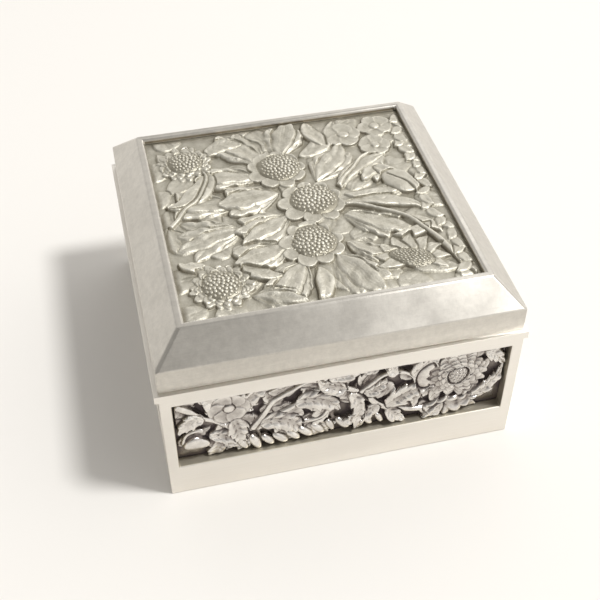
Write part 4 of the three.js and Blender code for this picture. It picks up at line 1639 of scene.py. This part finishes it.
@dataclass
class VelvetPad:
    """A lining or a pad: velvet drawn over a padded card that is glued down by its back.

    A cloth simulation swells it, on a copy some times its size, where the simulation behaves best.

    Attributes:
        node: The CAD node whose space it fills.
        body: The CAD body that it rides on.
        back: The way that its glued face looks.
        fill: How tightly it is padded, from 0 to 1; not used.
        crown_mm: How far its padding may swell.
        inset_mm: How far its sides start inside the CAD solid's.
        voxel_mm: The size of the cloth's faces.
        times: How many times its size the copy has.
        pressure: The padding's push on the cloth.
        frames: How long the simulation runs.
    """

    node: str
    body: str
    back: tuple[int, int, int]
    fill: float
    crown_mm: float
    inset_mm: float = 0.15
    voxel_mm: float = 1.2
    times: float = 20.0
    pressure: float = 4.0
    frames: int = 20

    def build(self, velvet: bpy.types.Material) -> None:
        """Makes the piece in its place.

        Args:
            velvet: Its material.
        """
        low, high = (np.array(corner) * self.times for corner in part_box(self.node))
        obj = self._block(low, high)
        start = self._points(obj.data)
        back = np.array(self.back)
        depth = (start * back).sum(1)
        glued = depth > depth.max() - 0.5 * self.voxel_mm * MM * self.times
        end = self._swollen(obj, glued)
        move = np.where(glued[:, None], 0, end - start)
        length = np.linalg.norm(move, axis=1)[:, None] + 1e-9
        cap = self.crown_mm * MM * self.times
        end = np.clip(start + move * np.minimum(1, cap / length), low, high)
        obj.data.vertices.foreach_set("co", end.ravel())
        obj.modifiers.new("round", "SUBSURF").levels = 1
        mesh = baked(obj)
        mesh.transform(Matrix.Scale(1 / self.times, 4))
        mesh.materials.append(velvet)
        mesh.shade_smooth()
        settle(obj, self.body, "velvet", self.node)

    @staticmethod
    def _points(mesh: bpy.types.Mesh) -> np.ndarray:
        """Reads a mesh's points.

        Args:
            mesh: The mesh.

        Returns:
            One row for each point.
        """
        points = np.empty(len(mesh.vertices) * 3)
        mesh.vertices.foreach_get("co", points)
        return points.reshape(-1, 3)

    def _block(self, low: np.ndarray, high: np.ndarray) -> bpy.types.Object:
        """Makes the enlarged block that the simulation starts from.

        Args:
            low: The enlarged CAD solid's low corner.
            high: Its high corner.

        Returns:
            A block in small even faces, smaller than the solid except at its back.
        """
        back = np.array(self.back)
        room = np.where(back == 0, self.inset_mm, self.crown_mm) * MM * self.times
        low, high = low + room * (back >= 0), high - room * (back <= 0)
        obj = new_object(f"velvet_{self.node}", block_mesh(self.node, low, high))
        remesh = obj.modifiers.new("voxels", "REMESH")
        remesh.mode = "VOXEL"
        remesh.voxel_size = self.voxel_mm * MM * self.times
        baked(obj)
        return obj

    def _swollen(self, obj: bpy.types.Object, glued: np.ndarray) -> np.ndarray:
        """Swells the block as filled cloth.

        Args:
            obj: The block.
            glued: Which of its points can't move.

        Returns:
            Where its points end up.
        """
        obj.vertex_groups.new(name="glued").add(np.flatnonzero(glued).tolist(), 1.0, "REPLACE")
        cloth = obj.modifiers.new("swell", "CLOTH")
        cloth.settings.vertex_group_mass = "glued"
        cloth.settings.use_pressure = True
        cloth.settings.uniform_pressure_force = self.pressure
        cloth.settings.effector_weights.gravity = 0
        cloth.point_cache.frame_end = self.frames
        for number in range(1, self.frames + 1):
            bpy.context.scene.frame_set(number)
        end = self._points(obj.evaluated_get(bpy.context.evaluated_depsgraph_get()).data)
        obj.modifiers.clear()
        bpy.context.scene.frame_set(1)
        return end


@dataclass
class FeltPad:
    """The die-cut felt glued under the base, with soft edges.

    Attributes:
        node: The CAD node that it stands for.
        edge_mm: How round its edges are.
    """

    node: str = "base_felt"
    edge_mm: float = 0.3

    def build(self, felt: bpy.types.Material) -> None:
        """Makes the piece in its place.

        Args:
            felt: Its material.
        """
        low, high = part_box(self.node)
        mesh = block_mesh(self.node, low, high)
        mesh.materials.append(felt)
        mesh.shade_smooth()
        obj = new_object(f"felt_{self.node}", mesh)
        bevel = obj.modifiers.new("soften", "BEVEL")
        bevel.width = self.edge_mm * MM
        bevel.segments = 3
        obj.modifiers.new("flat", "WEIGHTED_NORMAL").weight = 100
        baked(obj)
        settle(obj, "box", "felt", self.node)


@dataclass
class Studio:
    """The floor, the light and the camera.

    Attributes:
        camera_mm: Where the camera is.
        aim_mm: What it looks at.
        roll_deg: How far it leans over.
        focal_px: Its focal length, in pixels of the picture.
        picture_px: The picture's width.
        sensor_mm: The sensor's width.
        key_way: The way to the lamp.
        key_distance_mm: How far off it is.
        key_width_mm: How wide it is.
        key_watts: Its power.
        sky: The room's colour.
        wall_top: Between which heights of view the walls turn to the ceiling.
        sides: Between which of its sideways parts a view turns from the left wall to the right one.
        lower_left: The left wall's strength.
        lower_right: The right wall's strength.
        upper_left: The ceiling's strength at the left.
        upper_right: Its strength at the right.
        overhead: Between which heights of view the ceiling fades.
        zenith_share: What is left of it straight up.
        front_share: The room's share of its strength behind the camera.
        back_share: Its share behind the box.
        floor: The floor's colour.
        floor_size_mm: The floor's width.
    """

    camera_mm: tuple[float, float, float] = (-41.06, -172.45, 183.39)
    aim_mm: tuple[float, float, float] = (-2.2, -7.22, 20.0)
    roll_deg: float = -0.21
    focal_px: float = 1046.45
    picture_px: float = 600.0
    sensor_mm: float = 36.0
    key_way: tuple[float, float, float] = (0.44, -0.19, 0.87)
    key_distance_mm: float = 1900.0
    key_width_mm: float = 330.0
    key_watts: float = 24.3
    sky: str = "FFFDFA"
    wall_top: Span = (0.1, 0.6)
    sides: Span = (-0.7, 0.9)
    lower_left: float = 0.84
    lower_right: float = 1.35
    upper_left: float = 0.3
    upper_right: float = 1.0
    overhead: Span = (0.75, 1.0)
    zenith_share: float = 0.6
    front_share: float = 0.7
    back_share: float = 1.38
    floor: str = "EDEAE5"
    floor_size_mm: float = 4000.0

    def build(self) -> None:
        """Makes the whole studio."""
        self._camera()
        self._light()
        self._ground()
        bpy.context.scene.view_settings.view_transform = "Standard"

    def _camera(self) -> None:
        """Sets the camera where the photograph was taken from."""
        camera = bpy.data.cameras.new("camera")
        camera.sensor_width = self.sensor_mm
        camera.lens = self.focal_px / self.picture_px * self.sensor_mm
        camera.clip_start = 0.01
        obj = new_object("camera", camera)
        place = Vector(self.camera_mm) * MM
        look = (Vector(self.aim_mm) * MM - place).to_track_quat("-Z", "Y")
        turn = look @ Quaternion((0, 0, 1), math.radians(self.roll_deg))
        obj.matrix_world = Matrix.Translation(place) @ turn.to_matrix().to_4x4()
        bpy.context.scene.camera = obj

    def _light(self) -> None:
        """One soft lamp high on the right, and an even pale room."""
        lamp = bpy.data.lights.new("key", "AREA")
        lamp.shape = "DISK"
        lamp.size = self.key_width_mm * MM
        lamp.energy = self.key_watts
        obj = new_object("key", lamp)
        way = Vector(self.key_way).normalized()
        obj.matrix_world = (Matrix.Translation(way * self.key_distance_mm * MM)
                            @ way.to_track_quat("Z", "Y").to_matrix().to_4x4())
        self._room()

    def _room(self) -> None:
        """Makes a pale room: bright low down, most of all at the right, and dimmer overhead and in front."""
        world = bpy.data.worlds.new("room")
        world.use_nodes = True
        bpy.context.scene.world = world
        tree = world.node_tree
        tree.nodes.clear()
        way = add(tree, "ShaderNodeTexCoord").outputs["Generated"]
        part = add(tree, "ShaderNodeSeparateXYZ", {}, {0: way}).outputs
        high, zenith, upper, lower, back = (
            add(tree, "ShaderNodeMapRange",
                {"interpolation_type": kind, "From Min": start, "From Max": end, "To Min": low,
                 "To Max": top},
                {"Value": part[axis]}).outputs[0]
            for axis, kind, (start, end), low, top in (
                ("Z", "SMOOTHSTEP", self.wall_top, 0.0, 1.0),
                ("Z", "SMOOTHSTEP", self.overhead, 1.0, self.zenith_share),
                ("X", "LINEAR", self.sides, self.upper_left, self.upper_right),
                ("X", "LINEAR", self.sides, self.lower_left, self.lower_right),
                ("Y", "LINEAR", (-1.0, 1.0), self.front_share, self.back_share)))
        ceiling = add(tree, "ShaderNodeMath", {"operation": "MULTIPLY"}, {0: upper, 1: zenith}).outputs[0]
        level = add(tree, "ShaderNodeMix", {}, {0: high, 2: lower, 3: ceiling}).outputs[0]
        level = add(tree, "ShaderNodeMath", {"operation": "MULTIPLY"}, {0: level, 1: back}).outputs[0]
        shader = add(tree, "ShaderNodeBackground", {"Color": linear(self.sky)},
                     {"Strength": level}).outputs[0]
        add(tree, "ShaderNodeOutputWorld", {}, {"Surface": shader})

    def _ground(self) -> None:
        """Makes a plain pale floor."""
        half = self.floor_size_mm / 2 * MM
        mesh = bpy.data.meshes.new("floor")
        corners = [(-half, -half, 0), (half, -half, 0), (half, half, 0), (-half, half, 0)]
        mesh.from_pydata(corners, [], [(0, 1, 2, 3)])
        floor = new_object("floor", mesh)
        material = bpy.data.materials.new("matt_paper")
        material.use_nodes = True
        shader = material.node_tree.nodes["Principled BSDF"]
        shader.inputs["Base Color"].default_value = linear(self.floor)
        shader.inputs["Roughness"].default_value = 0.9
        shader.inputs["Specular IOR Level"].default_value = 0.0
        mesh.materials.append(material)


@dataclass
class TrinketBox:
    """The whole box: its frames, its plaques and its linings.

    Attributes:
        lap_mm: The lap of a wall's rebate round its plaque.
        rebate_gap_mm: How much narrower than that the plaque's own lap is.
        field_clearance_mm: The gap between a carved field and its window.
        wall_plate_mm: The thickness of a wall's plaque under its carving.
        lid_plate_mm: The thickness of the lid's plaque under its carving.
        lid_lap_mm: The lap of the lid's plaque.
    """

    lap_mm: float = 1.0
    rebate_gap_mm: float = 0.1
    field_clearance_mm: float = 0.08
    wall_plate_mm: float = 1.2
    lid_plate_mm: float = 1.2
    lid_lap_mm: float = 1.3

    def __post_init__(self) -> None:
        """Makes the materials."""
        self.body_pewter = BrushedPewter("brushed_pewter_body", "F2EEE7", "E8E3DA").material()
        # Painted shade: the lid's frame is the same pewter as the body's, given a darker colour for how dim
        # its faces look in this light. Its mottle is the filing's own uneven tone.
        self.lid_pewter = BrushedPewter("brushed_pewter_lid", "D8D4CC", "CAC5BC", mottle=0.13).material()
        self.lid_cast = AntiquedPewter("cast_pewter_lid_relief", "D9D5C9", "A29D8E", "736B5C",
                                       (0.0, 0.5), (0.4, 1.0), roughness=0.53, grain_mm=0.36,
                                       pitting_mm=0.08).material()
        self.wall_cast = AntiquedPewter("antiqued_pewter_wall_relief", "E9E5DF", "857D78", "574D4D",
                                        (-0.1, 0.6), (0.5, 1.05), roughness=0.27, uneven=0.42).material()
        # Painted shade: the faces round the lid's opening and round the walls' windows take pewter darker
        # than the frames', standing in for the shade in those recesses.
        self.reveal = BrushedPewter("pewter_reveal_painted_shade", "A89F90", "857D70", roughness=0.5,
                                    stretch=0).material()
        self.wall_reveal = BrushedPewter("dull_pewter_wall_reveal_painted_shade", "CBC5B6", "AEA797", roughness=0.5,
                                         stretch=0).material()
        self.velvet = PileCloth("cotton_velvet_wine_red", "4A0F1A", "8C3445", 0.6).material()
        self.felt = PileCloth("pressed_wool_felt", "24302A", "34443B", 0.2).material()

    def frames(self) -> None:
        """Eases the frames."""
        tool = Frames()
        ledge_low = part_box("rim_ledge")[0] / MM
        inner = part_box("left_wall")[1].y / MM
        lid_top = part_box("lid_frame")[1].z / MM
        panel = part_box("lid_relief")[1].x / MM

        def on_joint(p: Vector) -> bool:
            """Whether a wall meets the ledge or another wall there."""
            return abs(p.z - ledge_low.z) < SAME_MM or abs(abs(p.y) - inner) < SAME_MM

        def flush(p: Vector) -> bool:
            """Whether the ledge is filed flush with the front or back wall there."""
            return abs(p.z - ledge_low.z) < SAME_MM and abs(abs(p.y) + ledge_low.y) < SAME_MM

        def never(p: Vector) -> bool:
            """Whether there is a soldered joint: nowhere."""
            return False

        def on_inner_rim(p: Vector) -> bool:
            """Whether the lid's rim turns down to its panel there."""
            return abs(p.z - lid_top) < SAME_MM and max(abs(p.x), abs(p.y)) < panel

        for wall in Wall:
            node = f"{wall.value[0]}_wall"
            opening = tool.round_the_opening(f"{wall.value[0]}_relief")
            # The window's inner faces take the darker reveal pewter: painted shade of the recess.
            piece = tool.eased(node, on_joint, self.body_pewter, self.wall_reveal, opening)
            settle(piece, "box", "satin_pewter", node)
        piece = tool.eased("rim_ledge", flush, self.body_pewter, share=0.05)
        settle(piece, "box", "satin_pewter", "rim_ledge")
        for node in ("locating_collar", "base_plate"):
            settle(tool.eased(node, never, self.body_pewter), "box", "satin_pewter", node)
        # The faces round the lid's opening take the darker reveal pewter: painted shade of the recess.
        piece = tool.eased("lid_frame", never, self.lid_pewter, self.reveal,
                           tool.round_the_opening("lid_relief"), worn=on_inner_rim)
        settle(piece, "lid", "satin_pewter", "lid_frame")

    def wall_plaques(self) -> None:
        """Carves the four walls' plaques."""
        grower = Grower(self.wall_cast)
        for wall in Wall:
            name, turn = wall.value
            node = f"{name}_relief"
            low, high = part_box(node)
            size = (high - low) / MM
            length = size.x if wall in (Wall.FRONT, Wall.BACK) else size.y
            rotation = Matrix.Rotation(math.radians(turn), 4, "Z")
            behind = 0 if wall in (Wall.BACK, Wall.RIGHT) else 1
            inside = -(rotation.inverted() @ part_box(f"{name}_wall")[behind]).y
            ground = Matrix.Translation((0, -inside - self.wall_plate_mm * MM, (low.z + high.z) / 2))
            upright = Matrix(((1, 0, 0, 0), (0, 0, -1, 0), (0, 1, 0, 0), (0, 0, 0, 1)))
            half_u, half_v = (side / 2 - self.lap_mm + self.rebate_gap_mm - self.field_clearance_mm
                              for side in (length, size.z))
            plaque = Plaque(node, rotation @ ground @ upright, half_u, half_v,
                            self.lap_mm - self.rebate_gap_mm, self.wall_plate_mm)
            carved = plaque.carving()
            WallRelief(wall).carve(carved)
            hollow = carved.hollows(reach=1.3, depth=1.25, usual=0.29, line=0.12, steep=0.15, border=0.5)
            piece = plaque.build(carved, hollow, grower, f"carved_{node}")
            settle(piece, "box", "antiqued_pewter", node)

    def lid_plaque(self) -> None:
        """Carves the lid's plaque."""
        low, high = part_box("lid_relief")
        half = (high.x - low.x) / 2 / MM - self.lid_lap_mm
        ground = low.z + self.lid_plate_mm * MM
        plaque = Plaque("lid_relief", Matrix.Translation((0, 0, ground)), half, half, self.lid_lap_mm,
                        self.lid_plate_mm, budget=140000)
        carved = plaque.carving()
        LidRelief().carve(carved)
        hollow = carved.hollows(reach=1.0, depth=2.0, usual=0.2, line=0.42, steep=0.28, border=0.12)
        piece = plaque.build(carved, hollow, Grower(self.lid_cast), "carved_lid_relief")
        settle(piece, "lid", "relief_pewter", "lid_relief")

    def build(self) -> None:
        """Builds every piece."""
        self.soft_pieces()
        self.frames()
        self.wall_plaques()
        self.lid_plaque()

    def soft_pieces(self) -> None:
        """Lines the box with velvet and puts the felt under it."""
        for wall in Wall:
            name, turn = wall.value
            outwards = Matrix.Rotation(math.radians(turn), 3, "Z") @ Vector((0, -1, 0))
            back = tuple(round(part) for part in outwards)
            VelvetPad(f"{name}_lining", "box", back, fill=0.3, crown_mm=0.3, voxel_mm=0.9).build(self.velvet)
        VelvetPad("floor_pad", "box", (0, 0, -1), fill=0.6, crown_mm=0.9).build(self.velvet)
        VelvetPad("lid_pad", "lid", (0, 0, 1), fill=0.5, crown_mm=0.45).build(self.velvet)
        FeltPad().build(self.felt)


def main() -> None:
    """Builds the studio and the box."""
    logging.basicConfig(level=logging.INFO, format="%(message)s")
    Studio().build()
    TrinketBox().build()


if __name__ == "__main__":
    main()
